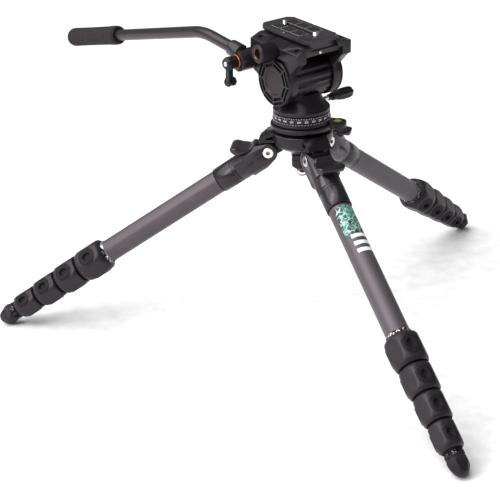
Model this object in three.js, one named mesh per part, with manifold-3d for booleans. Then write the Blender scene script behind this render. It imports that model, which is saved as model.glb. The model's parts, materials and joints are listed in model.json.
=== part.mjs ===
// Travel-sized video tripod with a fluid pan-and-tilt head. Millimetres, +Z up, origin on the ground
// under the middle of the overall box. Three five-section twist-lock legs hinge on a crown, a
// levelling platform sits in the crown's bowl, and the head carries an empty quick-release plate.
import * as THREE from "three";
import { mergeVertices } from "three/addons/utils/BufferGeometryUtils.js";
import Module from "manifold-3d";

const wasm = await Module();
wasm.setup();

// ---- Clearances ----
const GAP = 0.3; // between two fixed neighbours
const RUNNING_GAP = 0.45; // between two pieces that move on each other
const OVERCUT = 1; // how far a cutting tool reaches past the face it opens

// ---- Stance ----
const LEG_AZIMUTHS = { left: 150, front: 270, right: 30 }; // degrees from +X
const LEG_SPLAY = 56.1; // degrees from vertical, on the middle angle stop
const PIVOT_RADIUS = 45.5; // hinge axis from the pan axis

// ---- First leg tube ----
const TUBE_DIAMETER = 32.2;

// ---- Leg collar and hinge ----
const CLEVIS_WIDTH = 36.1;
const TONGUE_WIDTH = 21.6;
const EAR_RADIUS = 13;
const CLEVIS_DEPTH = 29.5; // slot depth below the hinge axis
const COLLAR_LENGTH = 84;
const COLLAR_TOP_WALL = 2.4; // outside the first tube
const COLLAR_END_WALL = 1.8;
const COLLAR_TOP_RADIUS = TUBE_DIAMETER / 2 + COLLAR_TOP_WALL;
const COLLAR_END_RADIUS = TUBE_DIAMETER / 2 + COLLAR_END_WALL;
const BOLT_RADIUS = 4;
const BOLT_HEAD_RADIUS = 8.2;
const BOLT_HEAD_DEPTH = 2.6;
const BOLT_HEAD_SINK = 0.2;
const HEX_SOCKET_RADIUS = 3;
const HEX_SOCKET_DEPTH = 4;
const EAR_CROWNING = 3.2; // how far the ears bulge past the collar
const EAR_TAPER = 14; // where the ears have narrowed to the collar, below the hinge
const EAR_ROOT = 6; // ears run this far past the slot

// ---- Leg sections, thickest first ----
const TUBE_STEP = 3.5; // each section is this much thinner than the one above
const TUBE_WALL = 1.2;
const TUBE_TOP = 46; // top of section 1 from the hinge axis
const TUBE_STAGGER = 5; // each inner section starts this much lower
const SECTION_COUNT = 5;
const LAST_TUBE_RADIUS = (TUBE_DIAMETER - TUBE_STEP * (SECTION_COUNT - 1)) / 2;

// ---- Twist locks: length, and thickness over their tube at the top, in the middle and at the end ----
const LOCK_START = 287.5; // top of the first lock from the hinge axis
const LOCKS = [
  { length: 47.4, top: 2.5, belly: 9.7, end: 4.9 },
  { length: 40.0, top: 6.85, belly: 9.55, end: 5.05 },
  { length: 39.9, top: 6.7, belly: 9.3, end: 4.9 },
  { length: 39.3, top: 6.45, belly: 8.55, end: 3.35 },
];
const LOCK_GAP = 0.5;
const TUBE_SETBACK = 1; // end of a tube inside its lock

// ---- Foot ----
const FOOT_LENGTH = 31.2;
const FOOT_NECK_WALL = 4.5; // outside the last tube
const FOOT_BALL_WALL = 6.4;
const FOOT_SOCKET = 9;
const FOOT_NECK_RADIUS = LAST_TUBE_RADIUS + FOOT_NECK_WALL;
const FOOT_BALL_RADIUS = LAST_TUBE_RADIUS + FOOT_BALL_WALL;

// ---- Pull-out angle stop ----
const TAB_WIDTH = 41;
const TAB_HEIGHT = 15.5; // at its far end, above the collar
const TAB_START = 7;
const TAB_END = 44;
const LATCH_START = 13.5;

// ---- Crown, heights from the hinge axis ----
const CROWN_RADIUS = 42.3;
const CROWN_TOP = 29.5;
const SHOULDER_WIDTH = 34;
const SHOULDER_REACH = 13;
const TONGUE_RADIUS = 11.5;
const BALL_RADIUS = 28.3;
const BALL_CENTRE = 33.5; // centre of the levelling half-ball
const BALL_CLEARANCE = 1;
const CROWN_FLOOR = 6.2; // metal under the bowl
const CROWN_BOTTOM = BALL_CENTRE - BALL_RADIUS - BALL_CLEARANCE - CROWN_FLOOR;
const STEM_HOLE_RADIUS = 8.6;

// ---- Levelling platform and its knob ----
const PLATFORM_RADIUS = 43;
const PLATFORM_THICKNESS = 7.7;
const LEVEL_STEM_RADIUS = 4;
const BUBBLE_AZIMUTH = -29;
const BUBBLE_REACH = 48.6;
const BUBBLE_LOBE_RADIUS = 12.5;
const BUBBLE_RADIUS = 6.8;
const BUBBLE_HEIGHT = 3;
const LEVEL_KNOB_RADIUS = 15;
const LEVEL_KNOB_DROP = 2.2; // knob below the crown
const LEVEL_KNOB_TOP = CROWN_BOTTOM - LEVEL_KNOB_DROP;
const LEVEL_KNOB_LENGTH = 19;
const LEVEL_KNOB_TAPER = 4;
const BOSS_RADIUS = 5.2;
const BOSS_LENGTH = 5.6;
const BAIL_RADIUS = 9.2;
const BAIL_WIRE = 1.2;

// ---- Pan base ----
const PAN_REST = -75.8; // direction of the lens, degrees from +X
const PAN_BASE_RADIUS = 39.7;
const PAN_BASE_HEIGHT = 8.2;
const SCALE_RADIUS = 39;
const SCALE_HEIGHT = 7.2;
const SPIGOT_RADIUS = 20;
const SPIGOT_RISE = 7;
const FLANGE_RADIUS = 39;
const FLANGE_HEIGHT = 5.4;
const CONE_TOP_RADIUS = 29;
const CONE_HEIGHT = 11.5;
const PAN_KNOB_SHAFT_RADIUS = 3;
const PAN_KNOB_RADIUS = 8.6;
const PAN_KNOB_START = 51;
const PAN_KNOB_LENGTH = 38;
const PAN_KNOB_FORWARD = 2;
const PAN_KNOB_INNER = 29; // inner end of its shaft
const PAN_KNOB_NECK = 5.6;

// ---- Tilt drum and yoke: X to the operator's right, Y forward, Z up from the tilt axis ----
const TILT_AXIS_HEIGHT = 106.5; // above the leg hinges
const TILT_REST = -2.4; // nose down
const DRUM_RADIUS = 30.5;
const DRUM_HALF_WIDTH = 30.5;
const TRUNNION_RADIUS = 10;
const SIDE_INNER = 31;
const SIDE_OUTER = 43.4;
const SIDE_RADIUS = 33;
const COVER_RADIUS = 33.4;
const COVER_THICKNESS = 3.5;
const BAR_OUTER = 46.5;
const BAR_HALF_LENGTH = 50;
const BAR_BOTTOM = 35;
const BAR_EDGE = 49; // outer top edge of the right-hand jaw bar
const LEFT_BAR_EDGE = 53.5;
const LEFT_BAR_OUTER = 45;
const BAR_TOP = 55.4;
const BAR_CREST = 31; // where the sloped top of a jaw bar levels out
const BRIDGE_BOTTOM = 42;
const BRIDGE_TOP = 48.7;
const JAW_HALF_LENGTH = 17;
const BAR_SCREW_Y = 38.5; // sunk screws, from the middle of a bar
const BAR_SCREW_X = 37.5;
const BAR_SCREW_BORE = 3.4;
const BAR_SCREW_FLOOR = 44;

// ---- Camera plate ----
const PLATE_LENGTH = 103;
const PLATE_WIDTH = 54;
const PLATE_THICKNESS = 5.6;
const PLATE_LIFT = 2.8; // plate's underside above the jaw bars
const PLATE_OFFSET = -4; // middle of the plate, back from the middle of the clamp
const PLATE_CORNER = 7;
const FOOT_RISE = 8.9; // dovetail below the plate
const DOVETAIL_TOP = 20;
const DOVETAIL_FLARE = 2.5;
const DOVETAIL_BOTTOM = DOVETAIL_TOP + DOVETAIL_FLARE;
const REAR_SCREW_Y = -34.5;
const FRONT_SCREW_Y = 31;
const REAR_SCREW_RADIUS = 3.1; // 1/4 inch
const FRONT_SCREW_RADIUS = 4.7; // 3/8 inch
const SCREW_STAND = 4.6; // stud above the plate
const SCREW_HEAD_MARGIN = 3;
const SCREW_HEAD_THICKNESS = 2.2;
const SCREW_HEAD_SINK = 0.6; // head above the dovetail's underside
const CHANNEL_END = 11; // channel for the heads, past the end screws

// ---- Plate lock knob ----
const LOCK_KNOB_RADIUS = 12.5;
const LOCK_KNOB_LENGTH = 27.5;
const LOCK_KNOB_EASE = 1; // rounding of its rims
const LOCK_KNOB_LIFT = 0.1; // knob above the side cover
const LOCK_KNOB_HEIGHT = COVER_RADIUS + LOCK_KNOB_LIFT + LOCK_KNOB_RADIUS - LOCK_KNOB_EASE;
const LOCK_STUD_RADIUS = 3;
const LOCK_STUD_DEPTH = 11;

// ---- Pan handle ----
const ROSETTE_Y = -50.5;
const ROSETTE_Z = 20.5;
const ROSETTE_RADIUS = 14.5;
const ROSETTE_PLANE = 52;
const ROSETTE_STEM_RADIUS = 3; // stem of the clamp in the boss
const ROSETTE_STEM_INNER = 40;
const HANDLE_X = 60.2;
const CLAMP_WIDTH = 16;
const HANDLE_RADIUS = 8.2;
const HANDLE_WALL = 1.4;
const SOCKET_RADIUS = 11.3;
const SOCKET_LENGTH = 18;
const SOCKET_DEPTH = 12;
const SOCKET_TAIL = 4; // sleeve behind the line's start
const SOCKET_BACK = 5; // line's start behind the rosette
const SOCKET_LIFT = 10; // line's start above the rosette
const HANDLE_RISE = 4.9; // degrees, first stretch, going up to the rear
const HANDLE_DROP = 15.7; // degrees, second stretch, going down to the rear
const HANDLE_NECK = 62; // first stretch
const HANDLE_REACH = 359; // second stretch, to the end of the grip
const BEND_LENGTH = 22; // straight length that the bend takes from each stretch
const GRIP_LENGTH = 134;
const GRIP_RADIUS = 14;
const TUBE_IN_GRIP = 100;
const LEVER_HUB_RADIUS = 9;
const LEVER_HUB_START = 70.4;
const LEVER_HUB_LENGTH = 19;
const LEVER_LENGTH = 33;
const LEVER_BLADE_START = 8; // blade, from the hub's inner face
const LEVER_BLADE_WIDTH = 7;
const LEVER_NECK = 4.3; // half-width of the blade
const LEVER_END_RADIUS = 6.6; // round finger boss at its end
const LEVER_END_START = 3;
const LEVER_END_LENGTH = 14;

// ---- Facets ----
const TUBE_SIDES = 16;
const FINE_SIDES = 20;
const RING_SIDES = 28;
const BOLT_SIDES = 14;
const SMALL_SIDES = 10;
const HEX_SIDES = 6;

const radians = THREE.MathUtils.degToRad;

// ---------------------------------------------------------------------------------------------
// Solids
// ---------------------------------------------------------------------------------------------

/** Drops collapsed triangles and turns the faces outward. */
function cleanTriangles(positions, indices) {
  const triangles = [];
  const [a, b, c] = [new THREE.Vector3(), new THREE.Vector3(), new THREE.Vector3()];
  let volume = 0;
  for (let i = 0; i < indices.length; i += 3) {
    const [p, q, r] = [indices[i], indices[i + 1], indices[i + 2]];
    if (p === q || q === r || r === p) continue;
    a.fromArray(positions, 3 * p);
    b.fromArray(positions, 3 * q);
    c.fromArray(positions, 3 * r);
    volume += a.dot(b.cross(c));
    triangles.push(p, q, r);
  }
  return volume < 0 ? triangles.reverse() : triangles;
}

function toSolid(geometry) {
  const bare = geometry.index ? geometry.toNonIndexed() : geometry.clone();
  bare.deleteAttribute("normal");
  bare.deleteAttribute("uv");
  const welded = mergeVertices(bare, 1e-3);
  const positions = welded.attributes.position.array;
  const triangles = cleanTriangles(positions, welded.index.array);
  const mesh = new wasm.Mesh({
    numProp: 3,
    vertProperties: new Float32Array(positions),
    triVerts: new Uint32Array(triangles),
  });
  return new wasm.Manifold(mesh);
}

function toGeometry(solid) {
  const mesh = solid.getMesh();
  const geometry = new THREE.BufferGeometry();
  geometry.setAttribute("position", new THREE.BufferAttribute(new Float32Array(mesh.vertProperties), 3));
  geometry.setIndex(Array.from(mesh.triVerts));
  geometry.computeVertexNormals();
  return geometry;
}

const join = (first, ...rest) => toGeometry(rest.reduce((sum, next) => sum.add(toSolid(next)), toSolid(first)));
const cut = (first, ...rest) => toGeometry(rest.reduce((sum, next) => sum.subtract(toSolid(next)), toSolid(first)));
const common = (first, second) => toGeometry(toSolid(first).intersect(toSolid(second)));

/** Body of revolution about Z from [radius, z] points. */
function turned(profile, sides = TUBE_SIDES) {
  const points = profile.map(([radius, z]) => new THREE.Vector2(radius, z));
  return new THREE.LatheGeometry(points, sides).rotateX(Math.PI / 2);
}

const rod = (radius, bottom, top, sides = TUBE_SIDES) =>
  turned([[0, bottom], [radius, bottom], [radius, top], [0, top]], sides);

const hoop = (outer, inner, bottom, top, sides = TUBE_SIDES) =>
  turned([[inner, bottom], [outer, bottom], [outer, top], [inner, top], [inner, bottom]], sides);

function brick([x0, x1], [y0, y1], [z0, z1]) {
  const geometry = new THREE.BoxGeometry(x1 - x0, y1 - y0, z1 - z0);
  return geometry.translate((x0 + x1) / 2, (y0 + y1) / 2, (z0 + z1) / 2);
}

function outline(points) {
  return new THREE.Shape(points.map(([x, y]) => new THREE.Vector2(x, y)));
}

function extruded(shape, length, curveSegments = 6) {
  return new THREE.ExtrudeGeometry(shape, { depth: length, bevelEnabled: false, curveSegments });
}

/** A (y, z) outline extruded from x0 to x1. */
function slabAlongX(points, x0, x1) {
  const axes = new THREE.Matrix4().makeBasis(
    new THREE.Vector3(0, 1, 0),
    new THREE.Vector3(0, 0, 1),
    new THREE.Vector3(1, 0, 0),
  );
  return extruded(outline(points), x1 - x0).applyMatrix4(axes).translate(x0, 0, 0);
}

/** An (x, z) outline extruded from y0 to y1. */
function slabAlongY(points, y0, y1) {
  return extruded(outline(points), y1 - y0).rotateX(Math.PI / 2).translate(0, y1, 0);
}

/** An (x, y) outline extruded from z0 to z1. */
function slabAlongZ(points, z0, z1) {
  return extruded(outline(points), z1 - z0).translate(0, 0, z0);
}

/** Points on an arc about (x, y), angles in degrees. */
function arc([x, y], radius, from, to, steps) {
  const points = [];
  for (let i = 0; i <= steps; i += 1) {
    const angle = radians(from + ((to - from) * i) / steps);
    points.push([x + radius * Math.cos(angle), y + radius * Math.sin(angle)]);
  }
  return points;
}

const alongX = (geometry) => geometry.rotateY(Math.PI / 2);
const alongY = (geometry) => geometry.rotateX(Math.PI / 2);

// ---------------------------------------------------------------------------------------------
// Materials
// ---------------------------------------------------------------------------------------------

const FINISHES = {
  anodised: { color: 0x1c1b1d, roughness: 0.45, metalness: 0.55 },
  carbon: { color: 0x3b3538, roughness: 0.5, metalness: 0.15 },
  rubber: { color: 0x151415, roughness: 0.85, metalness: 0 },
  steel: { color: 0xb9b6b2, roughness: 0.25, metalness: 0.95 },
  foam: { color: 0x121112, roughness: 0.95, metalness: 0 },
  plastic: { color: 0x19181a, roughness: 0.55, metalness: 0 },
  dial: { color: 0x2a2a2b, roughness: 0.5, metalness: 0.2 },
  vial: { color: 0xa9d23c, roughness: 0.1, metalness: 0 },
};

function piece(name, geometry, finish) {
  const closed = toGeometry(toSolid(geometry));
  const mesh = new THREE.Mesh(closed, new THREE.MeshStandardMaterial(FINISHES[finish]));
  mesh.name = name;
  return mesh;
}

// ---------------------------------------------------------------------------------------------
// Leg, built down -Z from its hinge axis; +X is its upper side and Y is the hinge
// ---------------------------------------------------------------------------------------------

const sectionRadius = (index) => (TUBE_DIAMETER - TUBE_STEP * index) / 2;

/** Distances from the hinge axis to the top of each lock, with the foot's top last. */
function lockStarts() {
  const starts = [LOCK_START];
  for (const lock of LOCKS) starts.push(starts[starts.length - 1] + lock.length + LOCK_GAP);
  return starts;
}

function clevisOutline() {
  const half = COLLAR_TOP_RADIUS - 0.3;
  return [
    ...arc([0, 0], EAR_RADIUS, 20, 160, 8),
    [-half, -EAR_TAPER],
    [-half, -CLEVIS_DEPTH - EAR_ROOT],
    [half, -CLEVIS_DEPTH - EAR_ROOT],
    [half, -EAR_TAPER],
  ];
}

function collarBody() {
  const bore = sectionRadius(0) + GAP;
  const top = -CLEVIS_DEPTH + 4;
  const profile = [
    [0, top],
    [COLLAR_TOP_RADIUS, top],
    [COLLAR_END_RADIUS, -COLLAR_LENGTH + 1],
    [COLLAR_END_RADIUS - 0.8, -COLLAR_LENGTH],
    [bore, -COLLAR_LENGTH],
    [bore, -TUBE_TOP + GAP],
    [0, -TUBE_TOP + GAP],
  ];
  return turned(profile, FINE_SIDES);
}

function collar() {
  const half = CLEVIS_WIDTH / 2;
  const slot = TONGUE_WIDTH / 2 + RUNNING_GAP;
  const ears = slabAlongY(clevisOutline(), -half, half);
  const bulge = COLLAR_TOP_RADIUS + EAR_CROWNING;
  const rounding = rod(bulge, -CLEVIS_DEPTH - EAR_ROOT - OVERCUT, EAR_RADIUS + OVERCUT, FINE_SIDES);
  const gapBox = brick([-bulge, bulge], [-slot, slot], [-CLEVIS_DEPTH, EAR_RADIUS + OVERCUT]);
  const boltHole = alongY(rod(BOLT_RADIUS + GAP, -half - OVERCUT, half + OVERCUT, SMALL_SIDES));
  const seatDepth = BOLT_HEAD_DEPTH + GAP;
  const seats = [-1, 1].map((side) => {
    const from = side > 0 ? half - seatDepth : -half - OVERCUT;
    const seat = rod(BOLT_HEAD_RADIUS + GAP, from, from + seatDepth + OVERCUT, BOLT_SIDES);
    return alongY(seat);
  });
  return cut(join(common(ears, rounding), collarBody()), gapBox, boltHole, ...seats);
}

function pivotBolt() {
  const half = CLEVIS_WIDTH / 2 - BOLT_HEAD_SINK;
  const profile = [
    [0, -half],
    [BOLT_HEAD_RADIUS, -half],
    [BOLT_HEAD_RADIUS, -half + BOLT_HEAD_DEPTH],
    [BOLT_RADIUS, -half + BOLT_HEAD_DEPTH],
    [BOLT_RADIUS, half - BOLT_HEAD_DEPTH],
    [BOLT_HEAD_RADIUS, half - BOLT_HEAD_DEPTH],
    [BOLT_HEAD_RADIUS, half],
    [0, half],
  ];
  const body = alongY(turned(profile, BOLT_SIDES));
  const sockets = [-half - OVERCUT, half - HEX_SOCKET_DEPTH].map((from) =>
    alongY(rod(HEX_SOCKET_RADIUS, from, from + HEX_SOCKET_DEPTH + OVERCUT, HEX_SIDES)),
  );
  return cut(body, ...sockets);
}

/** Saddle-backed paddle with a latch block that sits between the collar's ears. */
function angleTab() {
  const base = COLLAR_TOP_RADIUS + 0.7;
  const top = COLLAR_TOP_RADIUS + TAB_HEIGHT;
  const side = [
    [base, -TAB_START - 2],
    [base + 3, -TAB_START],
    [base + 6.5, -TAB_START - 1.5],
    [base + 8.6, -TAB_START - 6],
    [base + 8.2, -TAB_START - 12],
    [base + 9.4, -TAB_START - 20],
    [base + 12.2, -TAB_START - 27],
    [top, -TAB_END + 5],
    [top - 0.6, -TAB_END + 1.6],
    [top - 3, -TAB_END],
    [base + 4, -TAB_END + 1],
    [base, -TAB_END + 6],
  ];
  const half = TAB_WIDTH / 2;
  const middle = -(TAB_START + TAB_END) / 2;
  const plan = [
    [-half + 6, -TAB_START + 1],
    [-half, middle + 7],
    [-half, middle - 11],
    [-half + 5, -TAB_END - 1],
    [half - 5, -TAB_END - 1],
    [half, middle - 11],
    [half, middle + 7],
    [half - 6, -TAB_START + 1],
  ];
  const paddle = common(slabAlongY(side, -half, half), slabAlongX(plan, base - OVERCUT, top + OVERCUT));
  const latchHalf = TONGUE_WIDTH / 2;
  const latch = brick([8, base + 3], [-latchHalf, latchHalf], [-CLEVIS_DEPTH + 1, -LATCH_START]);
  return join(paddle, latch);
}

function section(index) {
  const outer = sectionRadius(index);
  const starts = lockStarts();
  const last = index === SECTION_COUNT - 1;
  const end = last ? starts[index] + FOOT_SOCKET - GAP : starts[index] + LOCKS[index].length - TUBE_SETBACK;
  return hoop(outer, outer - TUBE_WALL, -end, -(TUBE_TOP + TUBE_STAGGER * index));
}

/** Barrel-shaped twist lock around the end of one section. */
function twistLock(index) {
  const { length } = LOCKS[index];
  const tube = sectionRadius(index);
  const [top, belly, end] = [LOCKS[index].top, LOCKS[index].belly, LOCKS[index].end].map((wall) => tube + wall);
  const start = lockStarts()[index];
  const bore = sectionRadius(index) + RUNNING_GAP;
  return turned([
    [bore, -start],
    [top, -start],
    [top + 0.72 * (belly - top), -start - 0.18 * length],
    [belly, -start - 0.38 * length],
    [belly, -start - 0.68 * length],
    [end + 0.68 * (belly - end), -start - 0.85 * length],
    [end, -start - length],
    [bore, -start - length],
    [bore, -start],
  ]);
}

function foot() {
  const top = -lockStarts()[LOCKS.length];
  const bore = sectionRadius(SECTION_COUNT - 1) + GAP;
  const centre = top - (FOOT_LENGTH - FOOT_BALL_RADIUS);
  const dome = arc([0, centre], FOOT_BALL_RADIUS, 0, -90, 4);
  const profile = [
    [0, top - FOOT_SOCKET],
    [bore, top - FOOT_SOCKET],
    [bore, top],
    [FOOT_NECK_RADIUS - 0.6, top],
    [FOOT_NECK_RADIUS, top - 6],
    [FOOT_NECK_RADIUS, centre + 6],
    ...dome.slice(0, -1),
    [0, centre - FOOT_BALL_RADIUS],
  ];
  return turned(profile);
}

function leg(side, pivotHeight) {
  const group = new THREE.Group();
  group.add(piece(`leg_collar_${side}`, collar(), "anodised"));
  group.add(piece(`pivot_bolt_${side}`, pivotBolt(), "steel"));
  group.add(piece(`angle_tab_${side}`, angleTab(), "anodised"));
  for (let i = 0; i < SECTION_COUNT; i += 1) {
    group.add(piece(`tube_${i + 1}_${side}`, section(i), "carbon"));
  }
  LOCKS.forEach((_, i) => group.add(piece(`twist_lock_${i + 1}_${side}`, twistLock(i), "rubber")));
  group.add(piece(`foot_${side}`, foot(), "rubber"));
  group.rotation.y = -radians(LEG_SPLAY);
  group.position.set(PIVOT_RADIUS, 0, pivotHeight);
  const turn = new THREE.Group();
  turn.add(group);
  turn.rotation.z = radians(LEG_AZIMUTHS[side]);
  return turn;
}

/** Hinge height that puts the rubber feet on the ground. */
function pivotHeightOnGround() {
  const toFootCentre = lockStarts()[LOCKS.length] + FOOT_LENGTH - FOOT_BALL_RADIUS;
  return toFootCentre * Math.cos(radians(LEG_SPLAY)) + FOOT_BALL_RADIUS;
}

// ---------------------------------------------------------------------------------------------
// Crown and levelling platform; heights from the leg hinges
// ---------------------------------------------------------------------------------------------

function crownBody() {
  return turned(
    [
      [0, CROWN_BOTTOM],
      [17, CROWN_BOTTOM],
      [21, 3],
      [33, 7],
      [39.5, 12],
      [CROWN_RADIUS, 20],
      [CROWN_RADIUS, CROWN_TOP - 1],
      [CROWN_RADIUS - 1, CROWN_TOP],
      [0, CROWN_TOP],
    ],
    RING_SIDES,
  );
}

/** Bowl for the levelling ball, open at the bottom for its stem. */
function bowlCut() {
  const ball = BALL_RADIUS + BALL_CLEARANCE;
  const lowest = -THREE.MathUtils.radToDeg(Math.acos(STEM_HOLE_RADIUS / ball));
  return turned(
    [
      [0, CROWN_BOTTOM - OVERCUT],
      [STEM_HOLE_RADIUS, CROWN_BOTTOM - OVERCUT],
      ...arc([0, BALL_CENTRE], ball, lowest, 0, 5),
      [0, BALL_CENTRE],
    ],
    24,
  );
}

/** Stop lug that the pull-out latch lands on, in (outward, up) from the hinge axis. */
function stopLug() {
  const splay = radians(LEG_SPLAY);
  const toCrown = (s, x) => [
    s * Math.sin(splay) + x * Math.cos(splay),
    x * Math.sin(splay) - s * Math.cos(splay),
  ];
  const face = LATCH_START - GAP;
  return [toCrown(face, 8.3), toCrown(face, 13.6)];
}

function tongueOutline() {
  return [
    [-20, CROWN_TOP],
    [-20, 2],
    ...arc([0, 0], TONGUE_RADIUS, 200, 345, 9),
    ...stopLug(),
    [12.6, 8.6],
    [15.2, 11.6],
    [11.8, 13.8],
    [SHOULDER_REACH - 0.5, 17.5],
    [3, CROWN_TOP - 4],
    [-5.5, CROWN_TOP],
  ];
}

function shoulderOutline() {
  const low = EAR_RADIUS + 1.8;
  return [
    [-20, CROWN_TOP],
    [-20, low],
    [6, low],
    [SHOULDER_REACH, low + 2.4],
    [3.5, CROWN_TOP - 4],
    [-5, CROWN_TOP],
  ];
}

function crown() {
  const tongueHalf = TONGUE_WIDTH / 2;
  const shoulderHalf = SHOULDER_WIDTH / 2;
  const earHalf = CLEVIS_WIDTH / 2 + GAP * 2;
  const arms = [];
  const cuts = [];
  for (const azimuth of Object.values(LEG_AZIMUTHS)) {
    const place = (geometry) => geometry.translate(PIVOT_RADIUS, 0, 0).rotateZ(radians(azimuth));
    arms.push(place(slabAlongY(tongueOutline(), -tongueHalf, tongueHalf)));
    arms.push(place(slabAlongY(shoulderOutline(), -shoulderHalf, shoulderHalf)));
    const boltHole = rod(BOLT_RADIUS + GAP, -tongueHalf - OVERCUT, tongueHalf + OVERCUT, SMALL_SIDES);
    cuts.push(place(alongY(boltHole)));
    for (const side of [-1, 1]) {
      const near = side > 0 ? tongueHalf : -earHalf;
      const ear = rod(EAR_RADIUS + 0.9, near, near + earHalf - tongueHalf, 16);
      cuts.push(place(alongY(ear)));
    }
    const window = [[-7, 18.5], [4.5, 18.5], [1, 22.5], [-7, 24]];
    cuts.push(place(slabAlongY(window, -shoulderHalf - OVERCUT, shoulderHalf + OVERCUT)));
  }
  return cut(join(crownBody(), ...arms), ...cuts, bowlCut());
}

function levelPlatform() {
  const bottom = BALL_CENTRE;
  const top = bottom + PLATFORM_THICKNESS;
  const disc = turned(
    [
      [0, bottom],
      [PLATFORM_RADIUS - 2, bottom],
      [PLATFORM_RADIUS, bottom + 2],
      [PLATFORM_RADIUS, top - 1],
      [PLATFORM_RADIUS - 1, top],
      [0, top],
    ],
    RING_SIDES,
  );
  const turn = (geometry) => geometry.rotateZ(radians(BUBBLE_AZIMUTH));
  const lobe = turn(rod(BUBBLE_LOBE_RADIUS, bottom, top, FINE_SIDES).translate(BUBBLE_REACH, 0, 0));
  const reach = BUBBLE_LOBE_RADIUS * 0.97;
  const neck = turn(
    slabAlongZ([[28, -19], [BUBBLE_REACH - 2, -reach], [BUBBLE_REACH - 2, reach], [28, 19]], bottom, top),
  );
  const bowlFloor = BALL_CENTRE - BALL_RADIUS;
  const half = turned(
    [[0, bowlFloor], ...arc([0, BALL_CENTRE], BALL_RADIUS, -85, 0, 5), [0, bottom + 2]],
    24,
  );
  const flat = brick([-30, 30], [-30, 30], [bowlFloor - 5, bowlFloor + 2]);
  const stem = rod(LEVEL_STEM_RADIUS, LEVEL_KNOB_TOP - 10, bowlFloor + 8, SMALL_SIDES);
  const vialSeat = rod(BUBBLE_RADIUS + GAP, top - BUBBLE_HEIGHT, top + OVERCUT, FINE_SIDES);
  const body = join(disc, lobe, neck, cut(half, flat), stem);
  return cut(body, turn(vialSeat.translate(BUBBLE_REACH, 0, 0)));
}

function bubbleVial() {
  const top = BALL_CENTRE + PLATFORM_THICKNESS;
  const bottom = top - BUBBLE_HEIGHT + GAP;
  return turned(
    [[0, bottom], [BUBBLE_RADIUS, bottom], [BUBBLE_RADIUS, top], [BUBBLE_RADIUS - 1, top + 0.6], [0, top + 0.8]],
    FINE_SIDES,
  );
}

function levelKnob() {
  const top = LEVEL_KNOB_TOP;
  const low = top - LEVEL_KNOB_LENGTH;
  const under = low - LEVEL_KNOB_TAPER;
  const bore = LEVEL_STEM_RADIUS + GAP;
  const body = turned(
    [
      [0, top - 11],
      [bore, top - 11],
      [bore, top],
      [LEVEL_KNOB_RADIUS - 1, top],
      [LEVEL_KNOB_RADIUS, top - 1],
      [LEVEL_KNOB_RADIUS, low],
      [LEVEL_KNOB_RADIUS - 5, under],
      [BOSS_RADIUS, under],
      [BOSS_RADIUS, under - BOSS_LENGTH],
      [0, under - BOSS_LENGTH],
    ],
    24,
  );
  const pinHole = alongX(rod(BAIL_WIRE + RUNNING_GAP, -BOSS_RADIUS - OVERCUT, BOSS_RADIUS + OVERCUT, 10));
  return cut(body, pinHole.translate(0, 0, bailHeight()));
}

const bailHeight = () => LEVEL_KNOB_TOP - LEVEL_KNOB_LENGTH - LEVEL_KNOB_TAPER - BAIL_WIRE - 1;

/** Path through listed points, with one step of a sweep for each. */
class Route extends THREE.Curve {
  constructor(points) {
    super();
    this.points = points;
  }

  getPoint(t, target = new THREE.Vector3()) {
    return target.copy(this.points[Math.round(t * (this.points.length - 1))]);
  }

  getPointAt(u, target) {
    return this.getPoint(u, target);
  }

  getTangentAt(u, target = new THREE.Vector3()) {
    const index = Math.round(u * (this.points.length - 1));
    const before = this.points[Math.max(index - 1, 0)];
    const after = this.points[Math.min(index + 1, this.points.length - 1)];
    const into = this.points[index].clone().sub(before).normalize();
    const out = after.clone().sub(this.points[index]).normalize();
    return target.copy(into.add(out)).normalize();
  }
}

/** Sweeps an outline along listed points. */
function swept(shape, points) {
  const settings = { steps: points.length - 1, bevelEnabled: false, extrudePath: new Route(points) };
  return new THREE.ExtrudeGeometry(shape, settings);
}

const circle = (radius, sides) => arc([0, 0], radius, 0, 360 - 360 / sides, sides - 1);

function bail() {
  const z = bailHeight();
  const inner = 2.4;
  const elbow = BAIL_RADIUS - 1.2;
  const points = [new THREE.Vector3(-inner, 0, z), new THREE.Vector3(-elbow, 0, z)];
  for (const [x, y] of arc([0, z], BAIL_RADIUS, 190, 350, 10)) points.push(new THREE.Vector3(x, 0, y));
  points.push(new THREE.Vector3(elbow, 0, z), new THREE.Vector3(inner, 0, z));
  return swept(outline(circle(BAIL_WIRE, 6)), points);
}

// ---------------------------------------------------------------------------------------------
// Head; X to the operator's right, Y forward
// ---------------------------------------------------------------------------------------------

/** Heights of the stack on the pan axis, from the leg hinges. */
function stack() {
  const base = BALL_CENTRE + PLATFORM_THICKNESS + GAP;
  const scale = base + PAN_BASE_HEIGHT + GAP;
  const flange = scale + SCALE_HEIGHT + RUNNING_GAP;
  const cone = flange + FLANGE_HEIGHT;
  return { base, scale, flange, cone, knob: cone + 1.5 };
}

function panBase() {
  const { base } = stack();
  const top = base + PAN_BASE_HEIGHT;
  const spigotTop = stack().flange + SPIGOT_RISE;
  return turned(
    [
      [0, base],
      [PAN_BASE_RADIUS - 1, base],
      [PAN_BASE_RADIUS, base + 1],
      [PAN_BASE_RADIUS, top],
      [SPIGOT_RADIUS, top],
      [SPIGOT_RADIUS, spigotTop],
      [0, spigotTop],
    ],
    RING_SIDES,
  );
}

function scaleRing() {
  const { scale } = stack();
  return hoop(SCALE_RADIUS, SPIGOT_RADIUS + RUNNING_GAP, scale, scale + SCALE_HEIGHT, RING_SIDES);
}

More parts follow.
